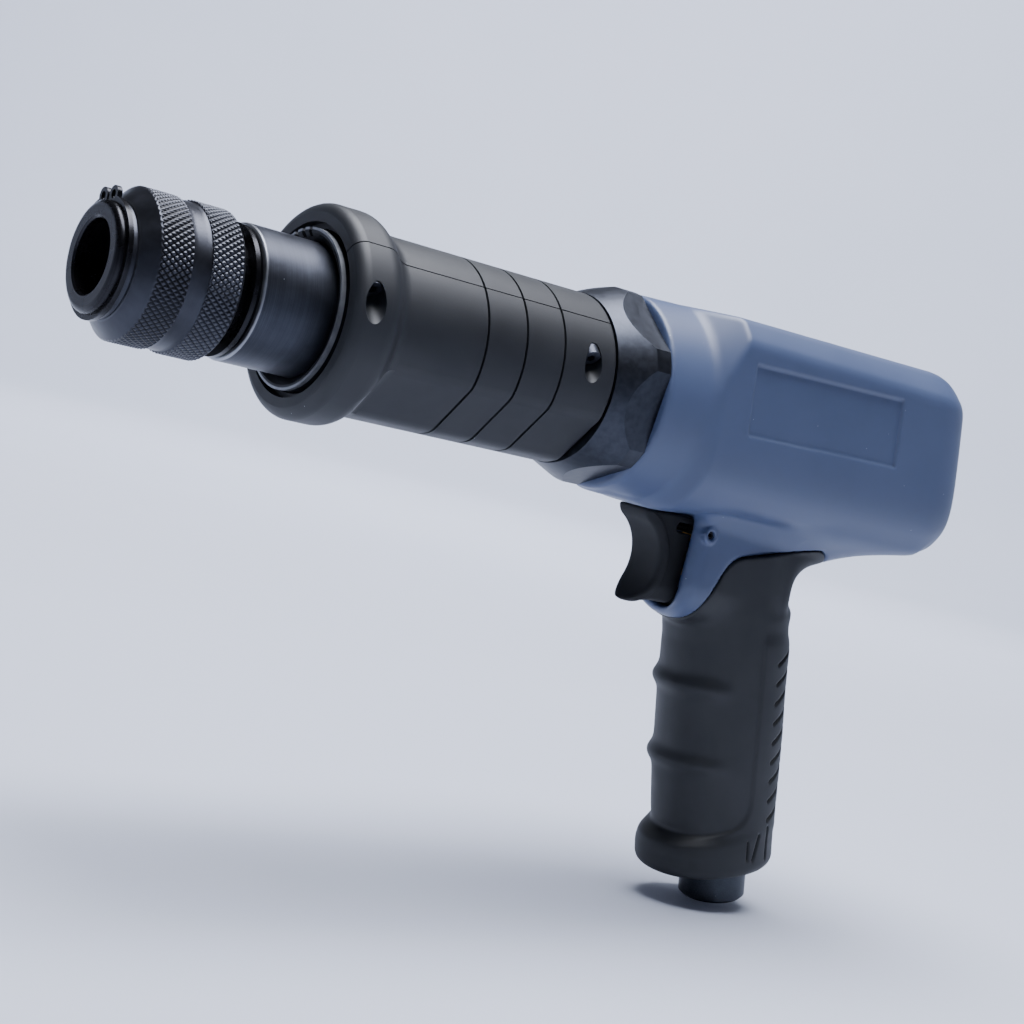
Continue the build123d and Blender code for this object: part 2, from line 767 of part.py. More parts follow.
# Rubber buffer between the casing and the housing's rear wall
buffer_rear = casing_rear - buffer_width
with BuildPart() as rear_buffer:
    with BuildSketch(Plane.YZ.offset(buffer_rear)):
        Circle(buffer_radius)
    extrude(amount=buffer_width)
rear_buffer.part.label = "rear_buffer"
export_step(rear_buffer.part, "parts/rear_buffer.step")

# Handle frame: the rake turns straight down towards the rear; stations run down from the barrel axis
rake = radians(handle_rake)
handle_x = neck_front - handle_behind
down = (-sin(rake), 0, -cos(rake))
ahead = (cos(rake), 0, -sin(rake))


# A plane square to the handle, a distance down its axis
def handle_plane(station):
    spot = (handle_x + station * down[0], 0, station * down[2])
    return Plane(spot, x_dir=ahead, z_dir=down)


# Handle sections: station, reach ahead, reach behind, half width; two finger ridges and a flared foot
handle_sections = [
    (40, 25.5, 16.5, handle_half), (49, 24.4, 16.2, handle_half), (57, 23.8, 17.9, handle_half),
    (62, 23.8, 16.9, handle_half), (70, 23.9, 18.0, handle_half), (75, 26.0, 18.2, handle_half),
    (80, 23.6, 18.3, handle_half), (93.5, 23.5, 18.7, handle_half), (98.5, 25.9, 18.9, handle_half),
    (103, 23.4, 19.0, handle_half), (119, 22.1, 19.3, handle_half), (122.5, 26.4, 19.2, handle_foot_half),
    (125.5, 27.4, 19.2, handle_foot_half), (handle_bottom, 26.9, 19.3, handle_foot_half)]

# Whole handle, before it is shared out between housing and rubber
with BuildPart() as handle_outer:
    for station, front, rear, half in handle_sections:
        with BuildSketch(handle_plane(station)):
            with Locations(((front - rear) / 2, 0)):
                Ellipse((front + rear) / 2, half)
    loft(ruled=True)
    foot = handle_outer.edges().sort_by(Axis(handle_plane(0).origin, down))[-1]
    fillet(foot, handle_round)

# Whole neck: its side view, kept inside a plan view with a rounded front and a section with a round floor
neck_under = (neck_front - neck_curl, neck_low)
web_low = (neck_front - web_low_behind, web_low_z)
web_bend = (neck_front - web_bend_behind, web_bend_z)
web_middle = (neck_front - web_middle_behind, web_middle_z)
web_rear_x = neck_front - web_rear_behind
web_rear = (web_rear_x, web_rear_z)
with BuildPart() as neck_outer:
    with BuildSketch(Plane.XZ):
        with BuildLine():
            Polyline((web_rear_x, neck_top), (neck_front, neck_top), (neck_front, neck_low + neck_curl))
            RadiusArc((neck_front, neck_low + neck_curl), neck_under, neck_curl)
            Line(neck_under, web_low)
            ThreePointArc(web_low, web_bend, web_middle)
            Polyline(web_middle, web_rear, (web_rear_x, neck_top))
        make_face()
    extrude(amount=neck_width / 2, both=True)
    web_edges = neck_outer.edges().filter_by(
        lambda edge: web_rear_x < edge.center().X < web_low[0] and neck_top > edge.center().Z > web_low_z)
    fillet(web_edges.filter_by(Axis.Y, reverse=True), web_round)
    with BuildSketch(Plane.XY.offset(neck_low)):
        with Locations(((neck_front + web_rear_x) / 2, 0)):
            RectangleRounded(neck_front - web_rear_x, neck_width, neck_edge)
    extrude(amount=neck_top - neck_low, mode=Mode.INTERSECT)
    with BuildSketch(Plane.YZ.offset(web_rear_x)):
        with BuildLine():
            half = neck_width / 2
            Polyline((-half, neck_low + half), (-half, neck_top), (half, neck_top), (half, neck_low + half))
            ThreePointArc((half, neck_low + half), (0, neck_low), (-half, neck_low + half))
        make_face()
    extrude(amount=neck_front - web_rear_x, mode=Mode.INTERSECT)

# Side of the rubber's edge: all that is below and behind this line is rubber
rubber_deep = 2 * handle_bottom
rubber_floor = neck_low - rubber_under
rubber_tip = (neck_front - rubber_rear_behind, rubber_edge_rear_top)
rubber_end = (rubber_tip[0] - 2 * rubber_tip_round, rubber_tip[1] - 2 * rubber_tip_round)
with BuildPart() as rubber_side:
    with BuildSketch(Plane.XZ):
        with BuildLine():
            FilletPolyline(
                (0, rubber_floor), (neck_front - rubber_low_behind, rubber_floor),
                (neck_front - rubber_edge_behind, rubber_edge_top), rubber_tip, rubber_end,
                radius=[rubber_edge_round, rubber_edge_round, rubber_tip_round])
            Polyline(
                rubber_end, (-rubber_deep, rubber_floor), (-rubber_deep, -rubber_deep), (0, -rubber_deep),
                (0, rubber_floor))
        make_face()
    extrude(amount=neck_width, both=True)

# Core of the handle and of the neck round the throttle, which the rubber is moulded on
core_bottom = handle_bottom - core_bottom_wall
with BuildPart() as handle_core:
    for station, front in ((core_top, core_front_top), (core_bottom, core_front_bottom)):
        with BuildSketch(handle_plane(station)):
            with Locations(((front - core_rear) / 2, 0)):
                Ellipse((front + core_rear) / 2, core_half)
    loft()
    with BuildSketch(Plane.YZ.offset(slot_rear + chamber_wall)):
        with BuildLine():
            half = neck_width / 2 - neck_rubber
            bend = neck_low + neck_rubber + half
            Polyline((-half, bend), (-half, slot_top), (half, slot_top), (half, bend))
            ThreePointArc((half, bend), (0, neck_low + neck_rubber), (-half, bend))
        make_face()
    extrude(amount=-bushing_width - chamber_wall)
    with BuildSketch(Plane.YZ.offset(slot_rear)):
        with Locations((0, throttle_z)):
            Circle(bushing_radius + chamber_wall)
    extrude(amount=-chamber_length)

# Housing body: rounded block seen from the side and from above, inside a round that swells to the rear
lean = tan(radians(body_rear_rake))
with BuildPart() as housing_body:
    with BuildSketch(Plane.XZ):
        with BuildLine():
            low_front = (nut_rear, -body_bottom)
            high_front = (nut_rear, body_top_front)
            low_rear = (body_rear - body_bottom * lean, -body_bottom)
            high_rear = (body_rear + body_top_rear * lean, body_top_rear)
            FilletPolyline(
                high_front, high_rear, low_rear, low_front, radius=[body_top_round, body_low_round])
            Line(low_front, high_front)
        make_face()
    extrude(amount=body_half_width, both=True)
    with BuildSketch(Plane.XY):
        with BuildLine():
            right_rear = (body_rear, -body_half_width)
            left_rear = (body_rear, body_half_width)
            FilletPolyline(
                (0, -body_half_width), right_rear, left_rear, (0, body_half_width), radius=body_rear_round)
            Line((0, body_half_width), (0, -body_half_width))
        make_face()
    extrude(amount=2 * body_half_width, dir=(lean, 0, 1), both=True, mode=Mode.INTERSECT)
    with BuildSketch(Plane.XZ):
        with BuildLine():
            nose_end = (nut_rear - body_nose_length, body_nose_radius)
            swell_end = (nut_rear - body_nose_length - body_swell_length, body_corner_radius)
            Polyline((nut_rear, 0), (nut_rear, body_front_radius), nose_end)
            nose_way = (-body_nose_length, body_nose_radius - body_front_radius)
            Spline(nose_end, swell_end, tangents=[nose_way, (-1, 0)])
            end_start = (body_rear + body_end_length, body_corner_radius)
            end_stop = (body_rear, body_end_radius)
            Line(swell_end, end_start)
            Spline(end_start, end_stop, tangents=[(-1, 0), (-body_end_round, -1)])
            far_rear = (body_rear - body_half_width, 0)
            Polyline(end_stop, far_rear, (nut_rear, 0))
        make_face()
    revolve(axis=Axis.X, mode=Mode.INTERSECT)
    with BuildSketch(Plane.YZ.offset(nut_rear)):
        Rectangle(4 * body_corner_radius, 2 * body_corner_radius, align=(Align.CENTER, Align.MAX))
        Circle(body_low_corner_radius, mode=Mode.SUBTRACT)
    extrude(amount=2 * (body_rear - nut_rear), mode=Mode.SUBTRACT)

# Room for the trigger: a slot with a round floor, open to the front
slot_side = slot_width / 2
with BuildPart() as trigger_slot:
    with BuildSketch(Plane.YZ.offset(slot_rear)):
        with BuildLine():
            bend = slot_low + slot_side
            Polyline((-slot_side, bend), (-slot_side, slot_top), (slot_side, slot_top), (slot_side, bend))
            ThreePointArc((slot_side, bend), (0, slot_low), (-slot_side, bend))
        make_face()
    extrude(amount=neck_width)

# Housing: one moulding of glass filled nylon, body, neck and handle core together
pin_line = Plane((pin_x, 0, pin_z), x_dir=(1, 0, 0), z_dir=(0, 1, 0))
plate_half, plate_rise = plate_length / 2, plate_height / 2
plate_middle = (plate_front - plate_half, plate_low + plate_rise)
plate_shift = plate_rise * tan(radians(plate_lean))
plate_corners = [
    (plate_half + plate_shift, plate_rise), (plate_shift - plate_half, plate_rise),
    (-plate_half - plate_shift, -plate_rise), (plate_half - plate_shift, -plate_rise)]
inlet_hole_top = core_bottom - inlet_spigot_length - screen_width
air_way_top = -throttle_z / cos(rake)
with BuildPart() as main_housing:
    add(neck_outer.part)
    add(handle_outer.part)
    add(rubber_side.part, mode=Mode.SUBTRACT)
    add(housing_body.part)
    add(handle_core.part)
    with BuildSketch(pin_line):
        Circle(boss_radius)
    extrude(amount=boss_half, both=True)
    with BuildSketch(Plane.YZ.offset(nut_rear)):
        Circle(casing_radius)
    extrude(amount=casing_rear - nut_rear, mode=Mode.SUBTRACT)
    with BuildSketch(Plane.YZ.offset(casing_rear)):
        Circle(buffer_radius)
    extrude(amount=-buffer_width, mode=Mode.SUBTRACT)
    add(trigger_slot.part, mode=Mode.SUBTRACT)
    with BuildSketch(pin_line):
        Circle(pin_radius)
    extrude(amount=neck_width, both=True, mode=Mode.SUBTRACT)
    with BuildSketch(Plane.YZ.offset(slot_rear)):
        with Locations((0, throttle_z)):
            Circle(bushing_radius)
    extrude(amount=-chamber_length, mode=Mode.SUBTRACT)
    with BuildSketch(Plane.XY.offset(throttle_z)):
        with Locations((throttle_port_x, 0)):
            Circle(port_radius)
    extrude(amount=-throttle_z, mode=Mode.SUBTRACT)
    with BuildSketch(handle_plane(core_bottom)):
        Circle(air_way_radius)
    extrude(amount=air_way_top - core_bottom, mode=Mode.SUBTRACT)
    with BuildSketch(handle_plane(core_bottom)):
        Circle(inlet_spigot_radius)
    extrude(amount=inlet_hole_top - core_bottom, mode=Mode.SUBTRACT)
    with BuildSketch(Plane.XZ.offset(-body_half_width)):
        with Locations(plate_middle):
            Polygon(*plate_corners, rotation=-plate_tilt, align=None)
        fillet(vertices(), plate_round)
    extrude(amount=plate_depth, mode=Mode.SUBTRACT)
main_housing.part.label = "main_housing"
export_step(main_housing.part, "parts/main_housing.step")

# Rubber grip moulded over the handle's core, open at the foot round the inlet
with BuildPart() as handle_grip:
    add(neck_outer.part)
    add(handle_outer.part)
    add(rubber_side.part, mode=Mode.INTERSECT)
    add(handle_core.part, mode=Mode.SUBTRACT)
    add(trigger_slot.part, mode=Mode.SUBTRACT)
    with BuildSketch(handle_plane(core_bottom)):
        Circle(inlet_radius + inlet_recess)
    extrude(amount=core_bottom_wall, mode=Mode.SUBTRACT)
handle_grip.part.label = "handle_grip"
export_step(handle_grip.part, "parts/handle_grip.step")

# Trigger: a hollowed finger face on a block that slides in the slot, notched round the pin
trigger_side = slot_side - trigger_side_gap
trigger_top = slot_top - trigger_top_gap
trigger_low = slot_low + trigger_top_gap
with BuildPart() as trigger:
    with BuildSketch(Plane.XZ):
        with BuildLine():
            brow = (neck_front + trigger_top_reach, trigger_top)
            toe = (neck_front + trigger_toe_reach, trigger_toe_z)
            lip = (neck_front + trigger_toe_reach - trigger_lip, trigger_low)
            ThreePointArc(brow, (neck_front + trigger_waist_reach, trigger_waist_z), toe)
            Polyline(toe, lip, (trigger_rear, trigger_low), (trigger_rear, trigger_top), brow)
        make_face()
        with Locations((pin_x + trigger_travel, pin_z)):
            Circle(pin_radius + notch_gap, mode=Mode.SUBTRACT)
        with Locations((pin_x, pin_z)):
            Rectangle(2 * trigger_travel, 2 * (pin_radius + notch_gap), mode=Mode.SUBTRACT)
    extrude(amount=trigger_side, both=True)
    with BuildSketch(Plane.YZ.offset(trigger_rear)):
        with BuildLine():
            bend = trigger_low + trigger_side
            Polyline(
                (-trigger_side, bend), (-trigger_side, trigger_top), (trigger_side, trigger_top),
                (trigger_side, bend))
            ThreePointArc((trigger_side, bend), (0, trigger_low), (-trigger_side, bend))
        make_face()
    extrude(amount=neck_width, mode=Mode.INTERSECT)
    with BuildSketch(Plane.YZ.offset(trigger_rear)):
        with Locations((0, throttle_z)):
            Circle(stem_radius)
    extrude(amount=stem_socket, mode=Mode.SUBTRACT)
trigger.part.label = "trigger"
export_step(trigger.part, "parts/trigger.step")

# Trigger pin: a slit spring pin sunk in its bosses across the slot, which keeps the trigger in
with BuildPart() as trigger_pin:
    with BuildSketch(pin_line):
        Circle(pin_radius)
        Circle(pin_bore, mode=Mode.SUBTRACT)
        Rectangle(2 * pin_radius, pin_slit, align=(Align.MIN, Align.CENTER), mode=Mode.SUBTRACT)
    extrude(amount=boss_half - pin_recess, both=True)
trigger_pin.part.label = "trigger_pin"
export_step(trigger_pin.part, "parts/trigger_pin.step")

# Throttle pieces are turned about the stem's axis
stem_axis = Axis((0, 0, throttle_z), (1, 0, 0))
chamber_rear = slot_rear - chamber_length
head_front = bushing_rear - thread_gap
head_rear = head_front - valve_head_width
stem_front = trigger_rear + stem_socket

# Throttle stem: pressed in the trigger, with the valve head at its rear end
with BuildPart() as throttle_stem:
    with BuildSketch(Plane.XZ.shift_origin((0, 0, throttle_z))):
        with BuildLine():
            Polyline(
                (stem_front, 0), (stem_front, stem_radius), (head_front, stem_radius),
                (head_front, valve_head_radius), (head_rear, valve_head_radius), (head_rear, 0), close=True)
        make_face()
    revolve(axis=stem_axis)
throttle_stem.part.label = "throttle_stem"
export_step(throttle_stem.part, "parts/throttle_stem.step")

# Throttle bushing: brass, with the valve seat at its rear and a waist that leads to the port
stem_hole = stem_radius + running_gap
seal_hole = stem_hole + 2 * stem_seal_wire
seal_center = slot_rear - 2 * stem_seal_wire
seal_floor = seal_center - 2 * stem_seal_wire
waist_front = throttle_port_x + port_radius
waist_rear = bushing_rear + bushing_land
with BuildPart() as throttle_bushing:
    with BuildSketch(Plane.XZ.shift_origin((0, 0, throttle_z))):
        with BuildLine():
            Polyline(
                (slot_rear, seal_hole), (slot_rear, bushing_radius), (waist_front, bushing_radius),
                (waist_front, bushing_waist), (waist_rear, bushing_waist), (waist_rear, bushing_radius),
                (bushing_rear, bushing_radius), (bushing_rear, bushing_bore), (waist_front, bushing_bore),
                (waist_front, stem_hole), (seal_floor, stem_hole), (seal_floor, seal_hole), close=True)
        make_face()
    revolve(axis=stem_axis)
    with BuildSketch(Plane.XY.offset(throttle_z)):
        with Locations((throttle_port_x, 0)):
            Circle(bushing_bore / 2)
    extrude(amount=bushing_radius, both=True, mode=Mode.SUBTRACT)
throttle_bushing.part.label = "throttle_bushing"
export_step(throttle_bushing.part, "parts/throttle_bushing.step")

# Stem seal in the front of the bushing
stem_seal_plane = Plane((seal_center, 0, throttle_z), x_dir=(0, 0, 1), z_dir=(1, 0, 0))
throttle_o_ring = seal_ring(stem_seal_plane, stem_hole + stem_seal_wire, stem_seal_wire)
throttle_o_ring.label = "throttle_o_ring"
export_step(throttle_o_ring, "parts/throttle_o_ring.step")

# Throttle spring: pushes the valve head forward on its seat and the trigger out
throttle_length = head_rear - chamber_rear - 2 * spring_end_gap
throttle_plane = Plane((chamber_rear + spring_end_gap, 0, throttle_z), x_dir=(0, 0, 1), z_dir=(1, 0, 0))
throttle_spring = coil_spring(throttle_plane, throttle_coil, throttle_wire, throttle_length, throttle_turns)
throttle_spring.label = "throttle_spring"
export_step(throttle_spring, "parts/throttle_spring.step")
print("throttle spring gap", round(turn_gap(throttle_length, throttle_turns, throttle_wire), 2))
print("pressed gap", round(turn_gap(throttle_length - trigger_travel, throttle_turns, throttle_wire), 2))

# Air inlet: steel bushing with a pipe thread, its spigot sealed in the handle's core
inlet_bottom = handle_bottom + inlet_length
inlet_top = core_bottom - inlet_spigot_length
inlet_seal = core_bottom - inlet_seal_behind
seal_side = inlet_seal_wire + thread_gap
spigot_side = inlet_spigot_radius - thread_gap
seal_bottom = spigot_side - 2 * inlet_seal_wire
thread_end = inlet_bottom - inlet_thread_length
with BuildPart() as air_inlet:
    inlet_view = Plane(handle_plane(0).origin, x_dir=down, z_dir=(0, -1, 0))
    with BuildSketch(inlet_view):
        with BuildLine():
            Polyline(
                (inlet_top, inlet_bore), (inlet_top, spigot_side), (inlet_seal - seal_side, spigot_side),
                (inlet_seal - seal_side, seal_bottom), (inlet_seal + seal_side, seal_bottom),
                (inlet_seal + seal_side, spigot_side), (core_bottom, spigot_side),
                (core_bottom, inlet_radius), (inlet_bottom - inlet_chamfer, inlet_radius),
                (inlet_bottom, inlet_radius - inlet_chamfer),
                (inlet_bottom, inlet_thread_radius), (thread_end, inlet_thread_radius),
                (thread_end, inlet_bore), close=True)
        make_face()
    revolve(axis=Axis(handle_plane(0).origin, down))
air_inlet.part.label = "air_inlet"
export_step(air_inlet.part, "parts/air_inlet.step")

# Inlet seal in the spigot's groove
inlet_o_ring = seal_ring(handle_plane(inlet_seal), spigot_side - inlet_seal_wire, inlet_seal_wire)
inlet_o_ring.label = "inlet_o_ring"
export_step(inlet_o_ring, "parts/inlet_o_ring.step")

# Inlet screen: drilled disc held between the spigot and the step of its hole
with BuildPart() as inlet_screen:
    with BuildSketch(handle_plane(inlet_hole_top)):
        Circle(spigot_side)
        with HexLocations(screen_hole_pitch / 2, screen_rows, screen_rows):
            Circle(screen_hole, mode=Mode.SUBTRACT)
    extrude(amount=screen_width)
inlet_screen.part.label = "inlet_screen"
export_step(inlet_screen.part, "parts/inlet_screen.step")
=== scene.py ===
import bpy
import numpy as np
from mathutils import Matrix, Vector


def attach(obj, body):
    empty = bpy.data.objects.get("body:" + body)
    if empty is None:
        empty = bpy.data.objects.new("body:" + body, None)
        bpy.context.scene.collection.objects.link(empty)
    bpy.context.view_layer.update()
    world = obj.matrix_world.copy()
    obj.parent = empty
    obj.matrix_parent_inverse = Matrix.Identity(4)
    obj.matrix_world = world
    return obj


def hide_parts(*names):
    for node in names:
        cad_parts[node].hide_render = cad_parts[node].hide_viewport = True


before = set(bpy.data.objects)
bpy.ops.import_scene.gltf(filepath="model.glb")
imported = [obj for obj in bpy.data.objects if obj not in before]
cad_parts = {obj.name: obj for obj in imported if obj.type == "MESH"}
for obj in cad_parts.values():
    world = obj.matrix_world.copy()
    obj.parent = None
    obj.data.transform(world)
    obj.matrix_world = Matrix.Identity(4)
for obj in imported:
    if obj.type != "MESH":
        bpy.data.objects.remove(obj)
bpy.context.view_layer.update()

# Air hammer, put together from the barrel outwards. Sizes are in millimetres until a mesh is made.
# +X runs out of the muzzle along the barrel axis, +Y is the tool's left, +Z is up.

# Barrel, retainer nose and lock ring: turned from bar steel and blackened in a hot oxide bath. The nose is polished
# before the bath, so it shines; the tube stays satin with faint turning lines. The nose screws on to the barrel,
# with the lock ring between. The snap ring has the nose's finish, and the grip's screws have the tube's.


def linear(code):
    """sRGB hex colour as linear red, green, blue and alpha."""
    parts = np.array([int(code[at:at + 2], 16) for at in (1, 3, 5)]) / 255
    bent = np.where(parts <= 0.04045, parts / 12.92, ((parts + 0.055) / 1.055) ** 2.4)
    return (*bent.tolist(), 1.0)


def add(tree, kind, inputs=None, **settings):
    """Adds one shader node. Settings are its properties; inputs are values or outputs, by socket name or number."""
    made = tree.nodes.new("ShaderNode" + kind)
    for name, value in settings.items():
        setattr(made, name, value)
    for socket, value in (inputs or {}).items():
        if isinstance(value, bpy.types.NodeSocket):
            tree.links.new(value, made.inputs[socket])
        else:
            made.inputs[socket].default_value = value
    return made


def open_material(name):
    """A new empty material, its node tree, and the place on the piece in metres."""
    material = bpy.data.materials.new(name)
    material.use_nodes = True
    material.node_tree.nodes.clear()
    tree = material.node_tree
    return material, tree, add(tree, "TexCoord").outputs["Object"]


def dust(tree, place, colour, size_mm, share):
    """Settled dust: a pale speck about a few of the points scattered through the space round the piece."""
    cells = 12 * size_mm
    spots = add(tree, "TexVoronoi", {"Vector": place, "Scale": 1000 / cells})
    near = add(tree, "Math", {0: spots.outputs["Distance"], 1: size_mm / 2 / cells}, operation="LESS_THAN")
    tint = add(tree, "SeparateColor", {0: spots.outputs["Color"]})
    kept = add(tree, "Math", {0: tint.outputs[0], 1: share}, operation="LESS_THAN")
    mask = add(tree, "Math", {0: near.outputs[0], 1: kept.outputs[0]}, operation="MULTIPLY")
    pale = add(tree, "Math", {0: mask.outputs[0], 1: 0.55}, operation="MULTIPLY")
    mixed = add(tree, "Mix", {0: pale.outputs[0], 6: colour, 7: linear("#aab2bd")}, data_type="RGBA")
    return mixed.outputs[2]


def black_oxide(name, dark, light, rough, line_mm, relief, worn_x=None, worn_radius=None):
    """Blackened steel: near black, with turning lines round the barrel axis and cloudy thin spots in the oxide.
    The lines are drawn several times coarser than a lathe leaves them, so that they show. An edge that is both
    ahead of worn_x and outside worn_radius is rubbed bright."""
    material, tree, place = open_material(name)
    spot = add(tree, "SeparateXYZ", {0: place})
    wide = add(tree, "CombineXYZ", {0: 0.0, 1: spot.outputs[1], 2: spot.outputs[2]})
    far = add(tree, "VectorMath", {0: wide.outputs[0]}, operation="LENGTH")
    track = add(tree, "CombineXYZ", {0: spot.outputs[0], 1: far.outputs["Value"], 2: 0.0})
    lines = add(tree, "TexNoise", {"Vector": track.outputs[0], "Scale": 1000 / line_mm, "Detail": 3.0})
    cloud = add(tree, "TexNoise", {"Vector": place, "Scale": 1000 / 9, "Detail": 5.0, "Roughness": 0.6})
    both = add(tree, "Math", {0: lines.outputs[0], 1: cloud.outputs[0]}, operation="MULTIPLY")
    shade = add(tree, "MapRange", {0: both.outputs[0], 1: 0.12, 2: 0.42, 3: 0.0, 4: 1.0})
    colour = add(tree, "Mix", {0: shade.outputs[0], 6: linear(dark), 7: linear(light)}, data_type="RGBA")
    dusty = dust(tree, place, colour.outputs[2], 0.3, 0.25)
    if worn_x is not None:
        worn_from, worn_outside = worn_x / 1000, worn_radius / 1000
        ahead = add(tree, "MapRange", {0: spot.outputs[0], 1: worn_from, 2: worn_from + 0.00015})
        outer = add(tree, "MapRange", {0: far.outputs["Value"], 1: worn_outside, 2: worn_outside + 0.0002})
        rubbed = add(tree, "Math", {0: ahead.outputs[0], 1: outer.outputs[0]}, operation="MULTIPLY")
        rubbed = add(tree, "Math", {0: rubbed.outputs[0], 1: cloud.outputs[0]}, operation="MULTIPLY")
        rubbed = add(tree, "Mix", {0: rubbed.outputs[0], 6: dusty, 7: linear("#b9bcc2")}, data_type="RGBA")
        dusty = rubbed.outputs[2]
    matt = add(tree, "MapRange", {0: cloud.outputs[0], 1: 0.3, 2: 0.7, 3: rough - 0.06, 4: rough + 0.08})
    bump = add(tree, "Bump", {"Height": lines.outputs[0], "Strength": relief, "Distance": 0.00004})
    shader = add(tree, "BsdfPrincipled", {
        "Base Color": dusty, "Metallic": 0.85, "Roughness": matt.outputs[0], "Normal": bump.outputs[0]})
    add(tree, "OutputMaterial", {0: shader.outputs[0]})
    return material


def dress(material, *nodes):
    """Gives CAD nodes their finish."""
    for name in nodes:
        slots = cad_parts[name].data.materials
        slots.clear()
        slots.append(material)


# Polished, then blackened: deep black with a clear highlight.
polished_oxide = black_oxide("polished_black_oxide", "#17171a", "#2b2b2f", 0.26, 0.5, 0.12)
# Turned, then blackened: grey black with a soft streak of light, the tube's front edge rubbed bright.
satin_oxide = black_oxide("satin_black_oxide", "#2d2f36", "#42454e", 0.4, 0.15, 0.04, -16.6, 15.5)
dress(polished_oxide, "retainer_body", "retainer_lock_ring", "retainer_snap_ring")
dress(satin_oxide, "barrel", "front_grip_screws")

# Balls, springs, piston, valve plates, grip nuts and throttle stem: bright steel, ground or drawn, inside the tool.
# Seals and dampers are black nitrile rubber; bushing and screen are brass; the motor casing is cast aluminium.


def plain_metal(name, dark, light, rough, grain_mm):
    """Bare metal with a fine ground grain: the tone and the gloss drift with the grain."""
    material, tree, place = open_material(name)
    grain = add(tree, "TexNoise", {"Vector": place, "Scale": 1000 / grain_mm, "Detail": 6.0})
    colour = add(tree, "Mix", {0: grain.outputs[0], 6: linear(dark), 7: linear(light)}, data_type="RGBA")
    matt = add(tree, "MapRange", {0: grain.outputs[0], 3: rough - 0.08, 4: rough + 0.08})
    bump = add(tree, "Bump", {"Height": grain.outputs[0], "Strength": 0.15, "Distance": 0.00003})
    shader = add(tree, "BsdfPrincipled", {
        "Base Color": colour.outputs[2], "Metallic": 1.0, "Roughness": matt.outputs[0],
        "Normal": bump.outputs[0]})
    add(tree, "OutputMaterial", {0: shader.outputs[0]})
    return material


def matt_black(name, dark, light, rough, grain_mm, relief, dust_share, engraved=None):
    """Black rubber or nylon from a textured mould: fine grain in the surface, slow drift in tone, settled dust.
    The grain is drawn coarser than a mould leaves it, so that it shows. Where the mesh carries an engraving,
    its bottom gets painted shade, nearly black."""
    material, tree, place = open_material(name)
    grain = add(tree, "TexNoise", {"Vector": place, "Scale": 1000 / grain_mm, "Detail": 2.0, "Roughness": 0.6})
    drift = add(tree, "TexNoise", {"Vector": place, "Scale": 1000 / 14, "Detail": 4.0})
    colour = add(tree, "Mix", {0: drift.outputs[0], 6: linear(dark), 7: linear(light)}, data_type="RGBA")
    dusty = dust(tree, place, colour.outputs[2], 0.28, dust_share)
    if engraved:
        # Painted shade: the bottom of an engraving is darkened almost to black, as if in the shadow of its walls.
        painted_cut_shade = add(tree, "Attribute", attribute_name=engraved).outputs["Fac"]
        dusty = add(tree, "Mix", {0: painted_cut_shade, 6: dusty, 7: linear("#020202")}, data_type="RGBA").outputs[2]
    matt = add(tree, "MapRange", {0: drift.outputs[0], 1: 0.3, 2: 0.7, 3: rough - 0.05, 4: rough + 0.06})
    bump = add(tree, "Bump", {"Height": grain.outputs[0], "Strength": relief, "Distance": 0.00005})
    shader = add(tree, "BsdfPrincipled", {
        "Base Color": dusty, "Roughness": matt.outputs[0], "IOR": 1.5, "Normal": bump.outputs[0]})
    add(tree, "OutputMaterial", {0: shader.outputs[0]})
    return material


# Ground and drawn steel: bright and even, with a sheen that breaks up in the grain.
bright_steel = plain_metal("ground_steel", "#8f9195", "#b4b6ba", 0.3, 0.4)
dress(bright_steel, "retainer_ball_1", "retainer_ball_2", "retainer_ball_3", "retainer_spring", "piston",
      "front_grip_nuts", "throttle_stem", "throttle_spring", "valve_base", "valve_disc", "valve_cap")
# Turned brass is warm and bright; the cast casing is pale, dull and coarse; nitrile rubber is dull black.
dress(plain_metal("turned_brass", "#a8833f", "#c9a45c", 0.3, 0.5), "throttle_bushing", "inlet_screen")
dress(plain_metal("cast_aluminium", "#8d8f92", "#a9abae", 0.45, 0.8), "housing_insert")
seal_rubber = matt_black("nitrile_rubber", "#0d0d0e", "#161617", 0.6, 0.5, 0.2, 0.0)
dress(seal_rubber, "front_damper_ring", "rear_damper_ring", "rear_buffer", "barrel_o_ring", "throttle_o_ring",
      "inlet_o_ring")

# Retainer sleeve: turned steel with two bands of diamond knurl rolled in, the front one sharp and the rear
# one flat topped, then blackened. It slides on the nose, and hands have rubbed the crests brighter.


def piece(name, points, faces, material, body, slot, *nodes):
    """A mesh of points in millimetres as a smooth object that rides on a body and stands for CAD nodes."""
    mesh = bpy.data.meshes.new(name)
    mesh.from_pydata((points / 1000).tolist(), [], faces.tolist())
    mesh.polygons.foreach_set("use_smooth", np.ones(len(mesh.polygons), bool))
    mesh.materials.append(material)
    made = bpy.data.objects.new(name, mesh)
    bpy.context.scene.collection.objects.link(made)
    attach(made, body)
    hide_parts(*nodes)
    return made


def ring_faces(rows, columns):
    """Faces of a grid that closes on itself both ways, row by row."""
    row, column = np.meshgrid(np.arange(rows), np.arange(columns), indexing="ij")
    ahead, across = (row + 1) % rows, (column + 1) % columns
    here, next_row = row * columns, ahead * columns
    return np.stack([here + column, here + across, next_row + across, next_row + column], -1).reshape(-1, 4)


def run(start, end, steps):
    """Points of a straight stretch of a turned profile, as x and radius, without its last point."""
    share = np.arange(steps)[:, None] / steps
    return np.array(start) * (1 - share) + np.array(end) * share


sleeve_radius, band_radius = 18.5, 17.9
sleeve_bore, spring_room, ball_groove = 13.4, 17.4, 15.83
edge_radius = 14.2
diamonds, diamond_pitch, knurl_depth = 72, 2.0, 0.42
points_to_diamond = 10
knurl_front, knurl_rear = (11.9, 3.9), (-1.1, -9.15)
